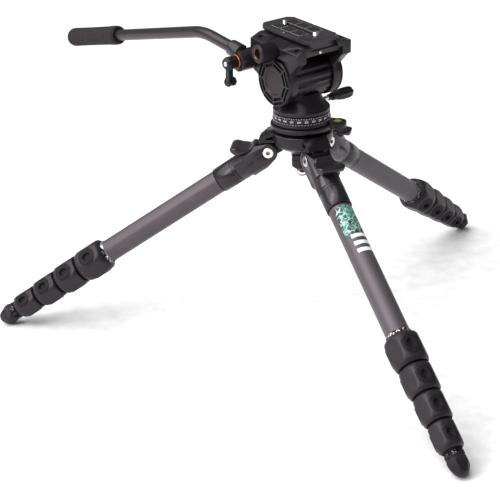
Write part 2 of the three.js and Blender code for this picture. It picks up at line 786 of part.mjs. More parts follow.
/** Finned barrel outline in (y, z) about the tilt axis. */
function drumOutline() {
  const groove = 1.6;
  const grooves = [-58, -38, -18, 2, 22];
  const points = [];
  const steps = 45;
  for (let i = 0; i < steps; i += 1) {
    const angle = (360 * i) / steps;
    const inGroove = grooves.some((centre) => {
      const front = Math.abs(((angle - centre + 540) % 360) - 180);
      const rear = Math.abs(((180 - angle - centre + 540) % 360) - 180);
      return Math.min(front, rear) < 4;
    });
    points.push(arc([0, 0], DRUM_RADIUS - (inGroove ? groove : 0), angle, angle, 1)[0]);
  }
  return points;
}

function fluidDrum() {
  const { flange, cone, knob } = stack();
  const socket = SPIGOT_RADIUS + RUNNING_GAP;
  const coneTop = cone + CONE_HEIGHT;
  const skirt = turned(
    [
      [socket, flange],
      [FLANGE_RADIUS - 1, flange],
      [FLANGE_RADIUS, flange + 1],
      [FLANGE_RADIUS, cone - 0.5],
      [FLANGE_RADIUS - 1, cone + 0.5],
      [CONE_TOP_RADIUS + 3, coneTop - 4],
      [CONE_TOP_RADIUS, coneTop],
      [CONE_TOP_RADIUS - 3, coneTop + 10],
      [0, coneTop + 10],
      [0, flange + SPIGOT_RISE + RUNNING_GAP],
      [socket, flange + SPIGOT_RISE + RUNNING_GAP],
      [socket, flange],
    ],
    RING_SIDES,
  );
  const barrel = slabAlongX(drumOutline(), -DRUM_HALF_WIDTH, DRUM_HALF_WIDTH);
  const trunnion = alongX(rod(TRUNNION_RADIUS, -SIDE_OUTER + GAP, SIDE_OUTER - GAP, FINE_SIDES));
  const raise = (geometry) => geometry.translate(0, 0, TILT_AXIS_HEIGHT);
  const shaftHole = alongX(
    rod(PAN_KNOB_SHAFT_RADIUS + RUNNING_GAP, -FLANGE_RADIUS - OVERCUT, OVERCUT - PAN_KNOB_INNER, SMALL_SIDES),
  );
  const body = join(skirt, raise(barrel), raise(trunnion));
  return cut(body, shaftHole.translate(0, PAN_KNOB_FORWARD, knob));
}

/** Lobed clamping knob on a plain shaft, pointing to the operator's left. */
function panLockKnob() {
  const start = PAN_KNOB_START;
  const end = start + PAN_KNOB_LENGTH;
  const profile = [
    [0, PAN_KNOB_INNER],
    [PAN_KNOB_SHAFT_RADIUS, PAN_KNOB_INNER],
    [PAN_KNOB_SHAFT_RADIUS, start],
    [PAN_KNOB_NECK, start],
    [PAN_KNOB_NECK + 0.4, start + 9],
    [PAN_KNOB_RADIUS - 1, start + 12],
    [PAN_KNOB_RADIUS, start + 20],
    [PAN_KNOB_RADIUS - 1, end - 5],
    [5, end],
    [0, end],
  ];
  return alongX(turned(profile, 16)).rotateZ(Math.PI).translate(0, PAN_KNOB_FORWARD, stack().knob);
}

/** Side cheek of the yoke in (y, z): a disc, a flared neck and the jaw bar's underside. */
function cheekOutline() {
  return [
    ...arc([0, 0], SIDE_RADIUS, 152, 388, FINE_SIDES),
    [BAR_HALF_LENGTH - 3, BAR_BOTTOM - 1],
    [BAR_HALF_LENGTH, BAR_BOTTOM + 1],
    [BAR_HALF_LENGTH, BRIDGE_TOP],
    [-BAR_HALF_LENGTH, BRIDGE_TOP],
    [-BAR_HALF_LENGTH, BAR_BOTTOM + 1],
    [-BAR_HALF_LENGTH + 3, BAR_BOTTOM - 1],
  ];
}

/** Half-width of the plate's dovetail at a height. */
function dovetailHalf(z) {
  const share = (plateBottom() - z) / FOOT_RISE;
  return DOVETAIL_TOP + (DOVETAIL_BOTTOM - DOVETAIL_TOP) * share;
}

const plateBottom = () => BAR_TOP + PLATE_LIFT;
const plateTop = () => plateBottom() + PLATE_THICKNESS;

function jawOutline(side, floor) {
  const face = (z) => dovetailHalf(z) + RUNNING_GAP;
  const outer = side > 0 ? BAR_OUTER : LEFT_BAR_OUTER;
  const points = [
    [outer, BAR_BOTTOM + 0.3],
    [outer, side > 0 ? BAR_EDGE : LEFT_BAR_EDGE],
    [BAR_CREST, BAR_TOP],
    [face(BAR_TOP), BAR_TOP],
    [face(floor), floor],
    [BAR_CREST + 0.4, floor],
    [BAR_CREST + 0.4, BAR_BOTTOM + 0.3],
  ];
  return side > 0 ? points : points.map(([x, z]) => [-x, z]);
}

/** Boss that carries the handle's rosette, on an arm from the right-hand cheek. */
function handleBoss() {
  const boss = alongX(rod(ROSETTE_RADIUS, SIDE_INNER + 4, ROSETTE_PLANE, 22)).translate(0, ROSETTE_Y, ROSETTE_Z);
  const arm = [[ROSETTE_Y - 4, ROSETTE_Z + 13], [ROSETTE_Y, ROSETTE_Z - 14], [-24, -6], [-20, 30]];
  const stemBore = ROSETTE_STEM_RADIUS + RUNNING_GAP;
  const bore = alongX(rod(stemBore, ROSETTE_STEM_INNER - OVERCUT, ROSETTE_PLANE + OVERCUT, SMALL_SIDES));
  return {
    solid: [boss, slabAlongX(arm, SIDE_INNER + 4, SIDE_OUTER)],
    bore: bore.translate(0, ROSETTE_Y, ROSETTE_Z),
  };
}

function tiltYoke() {
  const cheeks = [-1, 1].map((side) => {
    const from = side > 0 ? SIDE_INNER : -SIDE_OUTER;
    return slabAlongX(cheekOutline(), from, from + SIDE_OUTER - SIDE_INNER);
  });
  const bridge = brick(
    [-SIDE_INNER - 1, SIDE_INNER + 1],
    [-BAR_HALF_LENGTH + 4, BAR_HALF_LENGTH - 4],
    [BRIDGE_BOTTOM, BRIDGE_TOP],
  );
  const bars = [-1, 1].map((side) =>
    slabAlongY(jawOutline(side, BRIDGE_TOP - 1), -BAR_HALF_LENGTH, BAR_HALF_LENGTH),
  );
  const jawGap = JAW_HALF_LENGTH + GAP;
  const pocket = join(
    brick([DOVETAIL_TOP - 2, BAR_OUTER + 5], [-jawGap, jawGap], [BRIDGE_TOP, BAR_TOP + OVERCUT]),
    brick([BAR_CREST, BAR_OUTER + 5], [-jawGap, jawGap], [BAR_BOTTOM, BAR_TOP + OVERCUT]),
  );
  const through = SIDE_OUTER + OVERCUT;
  const trunnionBore = alongX(rod(TRUNNION_RADIUS + RUNNING_GAP, -through, through, FINE_SIDES));
  const screwHoles = [-BAR_SCREW_Y, BAR_SCREW_Y].map((y) => {
    const hole = rod(BAR_SCREW_BORE, BAR_SCREW_FLOOR, BAR_TOP + OVERCUT, SMALL_SIDES);
    return hole.translate(BAR_SCREW_X, y, 0);
  });
  const boss = handleBoss();
  const body = join(...cheeks, bridge, ...bars, ...boss.solid);
  return cut(body, pocket, trunnionBore, boss.bore, ...screwHoles);
}

/** Round side cover with a shallow recess for its badge. */
function sideCover(side) {
  const inner = SIDE_OUTER + GAP;
  const outer = inner + COVER_THICKNESS;
  const profile = [
    [0, inner],
    [COVER_RADIUS, inner],
    [COVER_RADIUS, outer - 1],
    [COVER_RADIUS - 1, outer],
    [20.5, outer],
    [19.5, outer - 1.4],
    [0, outer - 1.4],
  ];
  const disc = alongX(turned(profile, RING_SIDES));
  return side > 0 ? disc : disc.rotateZ(Math.PI);
}

function clampJaw() {
  const floor = BRIDGE_TOP + GAP + 0.1;
  const body = slabAlongY(jawOutline(1, floor), -JAW_HALF_LENGTH, JAW_HALF_LENGTH);
  const depth = LOCK_STUD_DEPTH + 1;
  const bore = alongX(rod(LOCK_STUD_RADIUS + RUNNING_GAP, BAR_OUTER - depth, BAR_OUTER + OVERCUT, SMALL_SIDES));
  return cut(body, bore.translate(0, 0, LOCK_KNOB_HEIGHT));
}

function plateLockKnob() {
  const start = BAR_OUTER + GAP;
  const end = start + LOCK_KNOB_LENGTH;
  const profile = [
    [0, start - LOCK_STUD_DEPTH],
    [LOCK_STUD_RADIUS, start - LOCK_STUD_DEPTH],
    [LOCK_STUD_RADIUS, start],
    [LOCK_KNOB_RADIUS - LOCK_KNOB_EASE, start],
    [LOCK_KNOB_RADIUS, start + LOCK_KNOB_EASE],
    [LOCK_KNOB_RADIUS, end - LOCK_KNOB_EASE],
    [LOCK_KNOB_RADIUS - LOCK_KNOB_EASE, end],
    [7, end],
    [6.4, end - 9],
    [0, end - 9],
  ];
  return alongX(turned(profile, 22)).translate(0, 0, LOCK_KNOB_HEIGHT);
}

function cameraPlate() {
  const [half, long] = [PLATE_WIDTH / 2, PLATE_LENGTH / 2];
  const c = PLATE_CORNER;
  const plan = [
    [-half + c, -long],
    [half - c, -long],
    [half, -long + c],
    [half, long - c],
    [half - c, long],
    [-half + c, long],
    [-half, long - c],
    [-half, -long + c],
  ];
  const [bottom, top] = [plateBottom(), plateTop()];
  const foot2d = [
    [-DOVETAIL_BOTTOM, bottom - FOOT_RISE],
    [DOVETAIL_BOTTOM, bottom - FOOT_RISE],
    [DOVETAIL_TOP, bottom + 1],
    [-DOVETAIL_TOP, bottom + 1],
  ];
  const slab = slabAlongZ(plan, bottom, top).translate(0, PLATE_OFFSET, 0);
  const footLong = long - 3;
  const dovetail = slabAlongY(foot2d, PLATE_OFFSET - footLong, PLATE_OFFSET + footLong);
  const slotHalf = REAR_SCREW_RADIUS + GAP;
  const through = [bottom - FOOT_RISE - OVERCUT, top + OVERCUT];
  const slot = brick([-slotHalf, slotHalf], [REAR_SCREW_Y - slotHalf - 1, FRONT_SCREW_Y], through);
  const round = rod(FRONT_SCREW_RADIUS + GAP, ...through, FINE_SIDES).translate(0, FRONT_SCREW_Y, 0);
  const channelHalf = FRONT_SCREW_RADIUS + SCREW_HEAD_MARGIN + 1;
  const channel = brick(
    [-channelHalf, channelHalf],
    [REAR_SCREW_Y - CHANNEL_END, FRONT_SCREW_Y + CHANNEL_END],
    [bottom - FOOT_RISE - OVERCUT, screwHeadTop() + GAP],
  );
  return cut(join(slab, dovetail), slot, round, channel);
}

const screwHeadTop = () => plateBottom() - FOOT_RISE + SCREW_HEAD_THICKNESS + SCREW_HEAD_SINK;

function cameraScrew(radius, y) {
  const headTop = screwHeadTop();
  const headBottom = headTop - SCREW_HEAD_THICKNESS;
  const tip = plateTop() + SCREW_STAND;
  const head = radius + SCREW_HEAD_MARGIN;
  const body = turned(
    [
      [0, headBottom],
      [head, headBottom],
      [head, headTop],
      [radius, headTop],
      [radius, tip - 0.8],
      [radius - 0.8, tip],
      [0, tip],
    ],
    16,
  );
  return body.translate(0, y, 0);
}

/** Centre line of the handle in (y, z): up to the rear, one bend, then down to the grip's end. */
function handleLine() {
  const up = radians(HANDLE_RISE);
  const down = radians(HANDLE_DROP);
  const start = new THREE.Vector3(HANDLE_X, ROSETTE_Y - SOCKET_BACK, ROSETTE_Z + SOCKET_LIFT);
  const first = new THREE.Vector3(0, -Math.cos(up), Math.sin(up));
  const second = new THREE.Vector3(0, -Math.cos(down), -Math.sin(down));
  const corner = start.clone().addScaledVector(first, HANDLE_NECK + BEND_LENGTH);
  const end = corner.clone().addScaledVector(second, HANDLE_REACH);
  return { start, first, second, corner, end };
}

/** Turns a body built along +Z so that it runs along a direction from a point. */
function aimed(geometry, from, direction) {
  const turn = new THREE.Quaternion().setFromUnitVectors(new THREE.Vector3(0, 0, 1), direction);
  return geometry.applyQuaternion(turn).translate(from.x, from.y, from.z);
}

function handleClamp() {
  const line = handleLine();
  const inner = ROSETTE_PLANE + RUNNING_GAP;
  const outer = inner + CLAMP_WIDTH;
  const hub = alongX(rod(ROSETTE_RADIUS, inner, outer, 22)).translate(0, ROSETTE_Y, ROSETTE_Z);
  const sleeve = turned(
    [
      [0, -SOCKET_TAIL],
      [SOCKET_RADIUS, -SOCKET_TAIL],
      [SOCKET_RADIUS, SOCKET_LENGTH - 1],
      [SOCKET_RADIUS - 1, SOCKET_LENGTH],
      [0, SOCKET_LENGTH],
    ],
    FINE_SIDES,
  );
  const stem = alongX(rod(ROSETTE_STEM_RADIUS, ROSETTE_STEM_INNER, inner + 1, SMALL_SIDES));
  stem.translate(0, ROSETTE_Y, ROSETTE_Z);
  const trim = brick([0, inner], [2 * ROSETTE_Y, 0], [-HANDLE_NECK, HANDLE_NECK]);
  const leverRoom = alongX(rod(LEVER_HUB_RADIUS + 2, LEVER_HUB_START - GAP, LEVER_HUB_START + 10, FINE_SIDES));
  leverRoom.translate(0, ROSETTE_Y, ROSETTE_Z);
  const bore = rod(HANDLE_RADIUS + GAP, SOCKET_LENGTH - SOCKET_DEPTH, SOCKET_LENGTH + OVERCUT, FINE_SIDES);
  const shell = cut(join(hub, aimed(sleeve, line.start, line.first)), trim, leverRoom);
  return cut(join(shell, stem), aimed(bore, line.start, line.first));
}

function handleTube() {
  const line = handleLine();
  const entry = line.start.clone().addScaledVector(line.first, SOCKET_LENGTH - SOCKET_DEPTH + GAP);
  const bendIn = line.corner.clone().addScaledVector(line.first, -BEND_LENGTH);
  const bendOut = line.corner.clone().addScaledVector(line.second, BEND_LENGTH);
  const tail = line.end.clone().addScaledVector(line.second, TUBE_IN_GRIP - GRIP_LENGTH);
  const bend = new THREE.QuadraticBezierCurve3(bendIn, line.corner, bendOut).getPoints(5);
  const shape = outline(circle(HANDLE_RADIUS, 12));
  const bore = circle(HANDLE_RADIUS - HANDLE_WALL, 12).reverse();
  shape.holes.push(new THREE.Path(bore.map(([x, y]) => new THREE.Vector2(x, y))));
  return swept(shape, [entry, ...bend, tail]);
}

function handleGrip() {
  const line = handleLine();
  const bore = HANDLE_RADIUS + GAP;
  const length = GRIP_LENGTH;
  const profile = [
    [bore, 0],
    [GRIP_RADIUS - 1.5, 0],
    [GRIP_RADIUS, 2],
    [GRIP_RADIUS + 0.3, 16],
    [GRIP_RADIUS - 0.2, length * 0.5],
    [GRIP_RADIUS, length - 5],
    [GRIP_RADIUS - 1.4, length - 1.4],
    [GRIP_RADIUS - 4.5, length],
    [0, length],
    [0, TUBE_IN_GRIP + 2],
    [bore, TUBE_IN_GRIP + 2],
    [bore, 0],
  ];
  const from = line.end.clone().addScaledVector(line.second, -length);
  return aimed(turned(profile, FINE_SIDES), from, line.second);
}

/** Locking lever: round hub, flat arm hanging from it and a round finger boss at its end. */
function clampLever() {
  const start = LEVER_HUB_START;
  const end = start + LEVER_HUB_LENGTH;
  const hub = alongX(
    turned(
      [[0, start], [LEVER_HUB_RADIUS, start], [LEVER_HUB_RADIUS, end - 4], [LEVER_HUB_RADIUS - 2, end], [0, end]],
      20,
    ),
  );
  const tip = -LEVER_LENGTH + LEVER_END_RADIUS;
  const arm = [[-LEVER_NECK, 0], [-LEVER_NECK, tip], [LEVER_NECK, tip], [LEVER_NECK, 0]];
  const bladeStart = start + LEVER_BLADE_START;
  const blade = slabAlongX(arm, bladeStart, bladeStart + LEVER_BLADE_WIDTH);
  const endStart = start + LEVER_END_START;
  const boss = alongX(rod(LEVER_END_RADIUS, endStart, endStart + LEVER_END_LENGTH, BOLT_SIDES));
  boss.translate(0, 0, tip);
  return join(hub, blade, boss).translate(0, ROSETTE_Y, ROSETTE_Z);
}

function head(pivotHeight) {
  const pan = new THREE.Group();
  pan.rotation.z = radians(PAN_REST - 90);
  pan.position.z = pivotHeight;
  pan.add(piece("pan_base", panBase(), "anodised"));
  pan.add(piece("scale_ring", scaleRing(), "dial"));
  pan.add(piece("fluid_drum", fluidDrum(), "anodised"));
  pan.add(piece("pan_lock_knob", panLockKnob(), "plastic"));

  const tilt = new THREE.Group();
  tilt.position.z = TILT_AXIS_HEIGHT;
  tilt.rotation.x = radians(TILT_REST);
  tilt.add(piece("tilt_yoke", tiltYoke(), "anodised"));
  tilt.add(piece("side_cover_right", sideCover(1), "plastic"));
  tilt.add(piece("side_cover_left", sideCover(-1), "plastic"));
  tilt.add(piece("clamp_jaw", clampJaw(), "anodised"));
  tilt.add(piece("plate_lock_knob", plateLockKnob(), "plastic"));
  tilt.add(piece("camera_plate", cameraPlate(), "anodised"));
  tilt.add(piece("camera_screw_rear", cameraScrew(REAR_SCREW_RADIUS, REAR_SCREW_Y), "steel"));
  tilt.add(piece("camera_screw_front", cameraScrew(FRONT_SCREW_RADIUS, FRONT_SCREW_Y), "steel"));
  tilt.add(piece("handle_clamp", handleClamp(), "anodised"));
  tilt.add(piece("handle_tube", handleTube(), "anodised"));
  tilt.add(piece("handle_grip", handleGrip(), "foam"));
  tilt.add(piece("handle_clamp_lever", clampLever(), "plastic"));
  pan.add(tilt);
  return pan;
}

// ---------------------------------------------------------------------------------------------
// Assembly
// ---------------------------------------------------------------------------------------------

function crownGroup(pivotHeight) {
  const group = new THREE.Group();
  group.position.z = pivotHeight;
  group.add(piece("crown", crown(), "anodised"));
  group.add(piece("level_platform", levelPlatform(), "anodised"));
  const vial = piece("bubble_vial", bubbleVial(), "vial");
  const turn = radians(BUBBLE_AZIMUTH);
  vial.position.set(BUBBLE_REACH * Math.cos(turn), BUBBLE_REACH * Math.sin(turn), 0);
  group.add(vial);
  group.add(piece("level_knob", levelKnob(), "plastic"));
  group.add(piece("hook_bail", bail(), "steel"));
  return group;
}

function tripod() {
  const pivotHeight = pivotHeightOnGround();
  const model = new THREE.Group();
  for (const side of Object.keys(LEG_AZIMUTHS)) model.add(leg(side, pivotHeight));
  model.add(crownGroup(pivotHeight));
  model.add(head(pivotHeight));
  model.updateMatrixWorld(true);
  const box = new THREE.Box3().setFromObject(model, true);
  const middle = box.getCenter(new THREE.Vector3());
  model.position.set(-middle.x, -middle.y, -box.min.z);
  return model;
}

export default tripod();
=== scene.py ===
"""Looks of a travel video tripod with a fluid pan-and-tilt head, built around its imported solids.

Each piece is shaped in millimetres of its own place (a leg, the pan axis, the tilt axis) and
becomes metres when the bench sets it in the frame and lets it ride on its body.
"""

import json
import logging
import math
from collections.abc import Callable, Sequence
from dataclasses import dataclass, field
from enum import Enum

import bmesh
import bpy
from mathutils import Matrix, Vector

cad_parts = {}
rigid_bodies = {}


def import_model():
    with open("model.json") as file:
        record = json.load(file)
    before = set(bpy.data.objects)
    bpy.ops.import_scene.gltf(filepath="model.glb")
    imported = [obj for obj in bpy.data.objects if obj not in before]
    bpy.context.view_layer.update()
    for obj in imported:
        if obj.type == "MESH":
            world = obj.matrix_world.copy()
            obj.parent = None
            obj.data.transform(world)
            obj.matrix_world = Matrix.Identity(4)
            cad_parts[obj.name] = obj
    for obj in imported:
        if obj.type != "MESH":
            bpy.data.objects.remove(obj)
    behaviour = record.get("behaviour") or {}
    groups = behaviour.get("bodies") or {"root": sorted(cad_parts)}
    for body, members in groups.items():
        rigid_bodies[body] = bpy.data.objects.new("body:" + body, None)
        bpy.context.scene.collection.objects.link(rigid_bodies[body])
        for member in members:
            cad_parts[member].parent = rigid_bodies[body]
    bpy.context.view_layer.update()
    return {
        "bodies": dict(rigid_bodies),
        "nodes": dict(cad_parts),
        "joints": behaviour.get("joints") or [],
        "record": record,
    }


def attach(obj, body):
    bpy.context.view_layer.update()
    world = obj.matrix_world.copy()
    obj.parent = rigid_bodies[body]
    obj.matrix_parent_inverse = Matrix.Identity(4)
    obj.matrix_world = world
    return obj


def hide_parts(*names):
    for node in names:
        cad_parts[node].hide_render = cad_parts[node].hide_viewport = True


LOG = logging.getLogger("tripod")
MILLIMETRE = 0.001
TURN = 2 * math.pi
FONT_SIZE = 1.42  # of the plain font, for figures one unit high

Colour = tuple[float, float, float]
Span = tuple[float, float]
Outline = Sequence[tuple[float, float]]
RadiusRule = Callable[[float, float, float], float]  # radius from (radius, z, angle)
PaintRule = Callable[[float, float], int]  # finish number from (z, angle)


# ---------------------------------------------------------------------------------------------
# Shader graph
# ---------------------------------------------------------------------------------------------


class Wire:
    """A shader value that takes part in ordinary arithmetic."""

    def __init__(self, graph: "Graph", socket: bpy.types.NodeSocket) -> None:
        """Wraps one output socket.

        Args:
            graph: the graph that the socket belongs to.
            socket: the output to wrap.
        """
        self.graph = graph
        self.socket = socket

    def math(self, operation: str, *others: "Wire | float", first: bool = True) -> "Wire":
        """Adds a Math node.

        Args:
            operation: the node's operation.
            others: its other operands.
            first: whether this wire is the first operand.

        Returns:
            The node's result.
        """
        operands = [self, *others] if first else [*others, self]
        return self.graph.add("ShaderNodeMath", {"operation": operation}, dict(enumerate(operands)))

    def __add__(self, other: "Wire | float") -> "Wire":
        """Sum."""
        return self.math("ADD", other)

    __radd__ = __add__

    def __sub__(self, other: "Wire | float") -> "Wire":
        """Difference."""
        return self.math("SUBTRACT", other)

    def __rsub__(self, other: "Wire | float") -> "Wire":
        """Difference from a number."""
        return self.math("SUBTRACT", other, first=False)

    def __mul__(self, other: "Wire | float") -> "Wire":
        """Product."""
        return self.math("MULTIPLY", other)

    __rmul__ = __mul__

    def __abs__(self) -> "Wire":
        """Size without sign."""
        return self.math("ABSOLUTE")

    def ramp(self, low: float, high: float) -> "Wire":
        """Rises smoothly from 0 at low to 1 at high.

        Args:
            low: value that gives 0.
            high: value that gives 1, which may be the smaller of the two.

        Returns:
            The smoothed share.
        """
        if high < low:
            return 1 - self.ramp(high, low)
        settings = {"interpolation_type": "SMOOTHSTEP", "clamp": True}
        inputs = {"Value": self, "From Min": low, "From Max": high, "To Min": 0.0, "To Max": 1.0}
        return self.graph.add("ShaderNodeMapRange", settings, inputs)

    def axis(self, index: int) -> "Wire":
        """One coordinate of a vector wire."""
        return self.graph.add("ShaderNodeSeparateXYZ", None, {0: self}, index)

    def stretched(self, x: float, y: float, z: float) -> "Wire":
        """A vector wire with each axis scaled."""
        inputs = {0: self, 1: (x, y, z)}
        return self.graph.add("ShaderNodeVectorMath", {"operation": "MULTIPLY"}, inputs)


class Graph:
    """The node tree of one material."""

    def __init__(self, name: str) -> None:
        """Makes an empty node material.

        Args:
            name: the material's name.
        """
        self.material = bpy.data.materials.new(name)
        self.material.use_nodes = True
        self.tree = self.material.node_tree
        self.tree.nodes.clear()

    def add(self, kind: str, settings: dict | None, inputs: dict, output: int | str = 0) -> Wire:
        """Adds any node: its settings first, then what its sockets take.

        Args:
            kind: the node's type.
            settings: its options.
            inputs: socket name or number, with a value or a wire.
            output: the output to hand back.

        Returns:
            That output as a wire.
        """
        node = self.tree.nodes.new(kind)
        for key, value in (settings or {}).items():
            setattr(node, key, value)
        for key, value in inputs.items():
            if isinstance(value, Wire):
                self.tree.links.new(value.socket, node.inputs[key])
            else:
                node.inputs[key].default_value = value
        return Wire(self, node.outputs[output] if len(node.outputs) else None)

    def local(self) -> Wire:
        """The piece's own coordinates, in millimetres."""
        point = self.add("ShaderNodeTexCoord", None, {}, "Object")
        return point.stretched(1 / MILLIMETRE, 1 / MILLIMETRE, 1 / MILLIMETRE)

    def noise(self, point: Wire, size: float, detail: float = 2.0) -> Wire:
        """Soft noise from 0 to 1.

        Args:
            point: where to read it.
            size: size of a blotch in millimetres.
            detail: how many finer layers it has.

        Returns:
            The noise value.
        """
        inputs = {"Vector": point, "Scale": 1 / size, "Detail": detail}
        return self.add("ShaderNodeTexNoise", None, inputs)

    def cells(self, point: Wire, size: float) -> Wire:
        """Distance to the nearest of scattered points that lie about a size apart."""
        return self.add("ShaderNodeTexVoronoi", None, {"Vector": point, "Scale": 1 / size})

    def blend(self, share: "Wire | float", first: "Wire | Colour", second: "Wire | Colour") -> Wire:
        """Mixes two colours.

        Args:
            share: 0 for the first colour, 1 for the second.
            first: a colour or a wire.
            second: a colour or a wire.

        Returns:
            The mixed colour.
        """
        colours = [c if isinstance(c, Wire) else (*c, 1) for c in (first, second)]
        inputs = {0: share, 6: colours[0], 7: colours[1]}
        return self.add("ShaderNodeMix", {"data_type": "RGBA"}, inputs, 2)

    def edges(self, reach: float) -> Wire:
        """How near a surface point is to an outside edge, from 0 to 1.

        Args:
            reach: width of the pale edge band in millimetres.

        Returns:
            The mask.
        """
        soft = self.add("ShaderNodeBevel", {"samples": 4}, {"Radius": reach * MILLIMETRE})
        plain = self.add("ShaderNodeNewGeometry", None, {}, "Normal")
        settings = {"operation": "DOT_PRODUCT"}
        turn = self.add("ShaderNodeVectorMath", settings, {0: soft, 1: plain}, "Value")
        return turn.ramp(0.97, 0.8)

    def close(self, inputs: dict, height: Wire, relief: float) -> bpy.types.Material:
        """Ends the graph in one Principled shader.

        Args:
            inputs: what the shader's sockets take.
            height: the bump's height from 0 to 1.
            relief: how many millimetres that height stands for.

        Returns:
            The finished material.
        """
        bump = {"Strength": 1.0, "Distance": relief * MILLIMETRE, "Height": height}
        inputs["Normal"] = self.add("ShaderNodeBump", None, bump)
        shader = self.add("ShaderNodeBsdfPrincipled", None, inputs)
        self.add("ShaderNodeOutputMaterial", None, {"Surface": shader})
        return self.material


# ---------------------------------------------------------------------------------------------
# Finishes
# ---------------------------------------------------------------------------------------------


def tinted(colour: Colour, share: float) -> Colour:
    """A colour with its brightness scaled."""
    return tuple(min(1.0, channel * share) for channel in colour)


@dataclass(frozen=True)
class Finish:
    """What every finish has.

    Attributes:
        name: name of its material.
        colour: main colour, linear.
        roughness: middle of its roughness.
        metallic: metal share.
        coat: weight of a clear coat.
        specular: specular level.
        grain: size of the surface grain, mm.
        relief: depth of the surface grain, mm.
        sheen_tint: colour of its highlights, slightly purple on the blacked parts.
    """

    name: str
    colour: Colour
    roughness: float
    metallic: float = 0.0
    coat: float = 0.0
    specular: float = 0.5
    grain: float = 0.5
    relief: float = 0.03
    sheen_tint: tuple[float, float, float, float] = (1.0, 0.84, 0.97, 1.0)

    def surface(self, graph: Graph, point: Wire) -> tuple[Wire, Wire, Wire]:
        """Colour, roughness and height over the surface.

        Args:
            graph: the material's graph.
            point: local coordinates, mm.

        Returns:
            Colour, roughness and height wires.
        """
        haze = graph.noise(point, 22, 3)
        fine = graph.noise(point, self.grain, 2)
        colour = graph.blend(haze, tinted(self.colour, 0.8), tinted(self.colour, 1.2))
        return colour, self.roughness - 0.06 + 0.12 * haze, fine

    def material(self) -> bpy.types.Material:
        """Builds the material."""
        graph = Graph(self.name)
        colour, roughness, height = self.surface(graph, graph.local())
        inputs = {
            "Base Color": colour,
            "Roughness": roughness,
            "Metallic": self.metallic,
            "Coat Weight": self.coat,
            "Specular IOR Level": self.specular,
            "Specular Tint": self.sheen_tint,
        }
        return graph.close(inputs, height, self.relief)


@dataclass(frozen=True)
class Anodised(Finish):
    """Blasted and blacked aluminium, paler along its edges: partly worn bare metal, partly a painted edge
    highlight.

    Attributes:
        wear: how far the edges go towards pale bare metal, as worn metal and as a painted edge highlight.
    """

    wear: float = 0.25

    def surface(self, graph: Graph, point: Wire) -> tuple[Wire, Wire, Wire]:
        """Blast grain, faint handling haze, and paler edges that are partly worn metal and partly a
        painted highlight.

        Args:
            graph: the material's graph.
            point: local coordinates, mm.

        Returns:
            Colour, roughness and height wires.
        """
        colour, roughness, fine = Finish.surface(self, graph, point)
        patchy = graph.noise(point, 3.0, 3).ramp(0.35, 0.7)
        scuffed_and_highlit = graph.edges(0.5) * patchy * self.wear
        # painted edge highlight: the pale edge colour stands partly for worn bare metal and partly for
        # light catching the edges
        colour = graph.blend(scuffed_and_highlit, colour, (0.22, 0.21, 0.21))
        return colour, roughness - 0.1 * scuffed_and_highlit, fine


@dataclass(frozen=True)
class CarbonTube(Finish):
    """Matt tube of laid fibre: fine streaks along it and a faint twill under the lacquer.

    Attributes:
        streak: width of a fibre streak, mm.
        twill: width of a twill rib, mm.
    """

    streak: float = 0.55
    twill: float = 2.2

    def surface(self, graph: Graph, point: Wire) -> tuple[Wire, Wire, Wire]:
        """Lengthwise fibres over crossing ribs.

        Args:
            graph: the material's graph.
            point: local coordinates, mm.

        Returns:
            Colour, roughness and height wires.
        """
        along = graph.noise(point.stretched(1, 1, 0.03), self.streak, 3)
        around = point.axis(1).math("ARCTAN2", point.axis(0)) * 16
        ribs = ((around + point.axis(2)) * (TURN / self.twill)).math("SINE") * 0.5 + 0.5
        cloud = graph.noise(point, 30, 2)
        share = 0.55 * along + 0.15 * ribs + 0.3 * cloud
        pale, deep = tinted(self.colour, 1.3), tinted(self.colour, 0.72)
        colour = graph.blend(share.ramp(0.2, 0.8), deep, pale)
        rough = self.roughness - 0.05 + 0.1 * along
        return colour, rough, 0.6 * along + 0.4 * ribs


@dataclass(frozen=True)
class Rubber(Finish):
    """Moulded rubber with a pebbled skin and a little dust in it."""

    def surface(self, graph: Graph, point: Wire) -> tuple[Wire, Wire, Wire]:
        """Pebbles, pores and pale dust.

        Args:
            graph: the material's graph.
            point: local coordinates, mm.

        Returns:
            Colour, roughness and height wires.
        """
        pebble = graph.cells(point, self.grain).ramp(0.1, 0.75)
        pore = graph.noise(point, self.grain * 0.6, 3)
        dust = graph.noise(point, 9, 4).ramp(0.5, 0.85)
        colour = graph.blend(0.5 * dust, self.colour, tinted(self.colour, 1.9))
        return colour, self.roughness + 0.1 * dust, 1 - (0.7 * pebble + 0.3 * pore)


@dataclass(frozen=True)
class Foam(Finish):
    """Closed-cell sponge: open pores of two sizes, worn smoother in blotches, darker in its low ground as
    painted shade.
    """

    def surface(self, graph: Graph, point: Wire) -> tuple[Wire, Wire, Wire]:
        """Pores, worn blotches and painted shade in the low ground.

        Args:
            graph: the material's graph.
            point: local coordinates, mm.

        Returns:
            Colour, roughness and height wires.
        """
        pores = graph.cells(point, self.grain)
        fine = graph.cells(point, self.grain * 0.45)
        worn = graph.noise(point, 14, 3).ramp(0.4, 0.7)
        height = (0.65 * pores + 0.35 * fine).ramp(0.05, 0.8)
        # painted shade: the lower the surface, the darker its colour
        colour = graph.blend(height, tinted(self.colour, 1.7), tinted(self.colour, 0.55))
        return colour, self.roughness - 0.12 * worn, 1 - height


@dataclass(frozen=True)
class TurnedMetal(Finish):
    """Bright metal with the fine rings of a lathe tool about its Z axis."""

    def surface(self, graph: Graph, point: Wire) -> tuple[Wire, Wire, Wire]:
        """Tool rings, smears and tiny scratches.

        Args:
            graph: the material's graph.
            point: local coordinates, mm.

        Returns:
            Colour, roughness and height wires.
        """
        rings = graph.noise(point.stretched(0.05, 0.05, 1), self.grain, 2)
        smear = graph.noise(point, 5, 3)
        colour = graph.blend(smear, tinted(self.colour, 0.82), tinted(self.colour, 1.1))
        return colour, self.roughness + 0.15 * smear * rings, rings


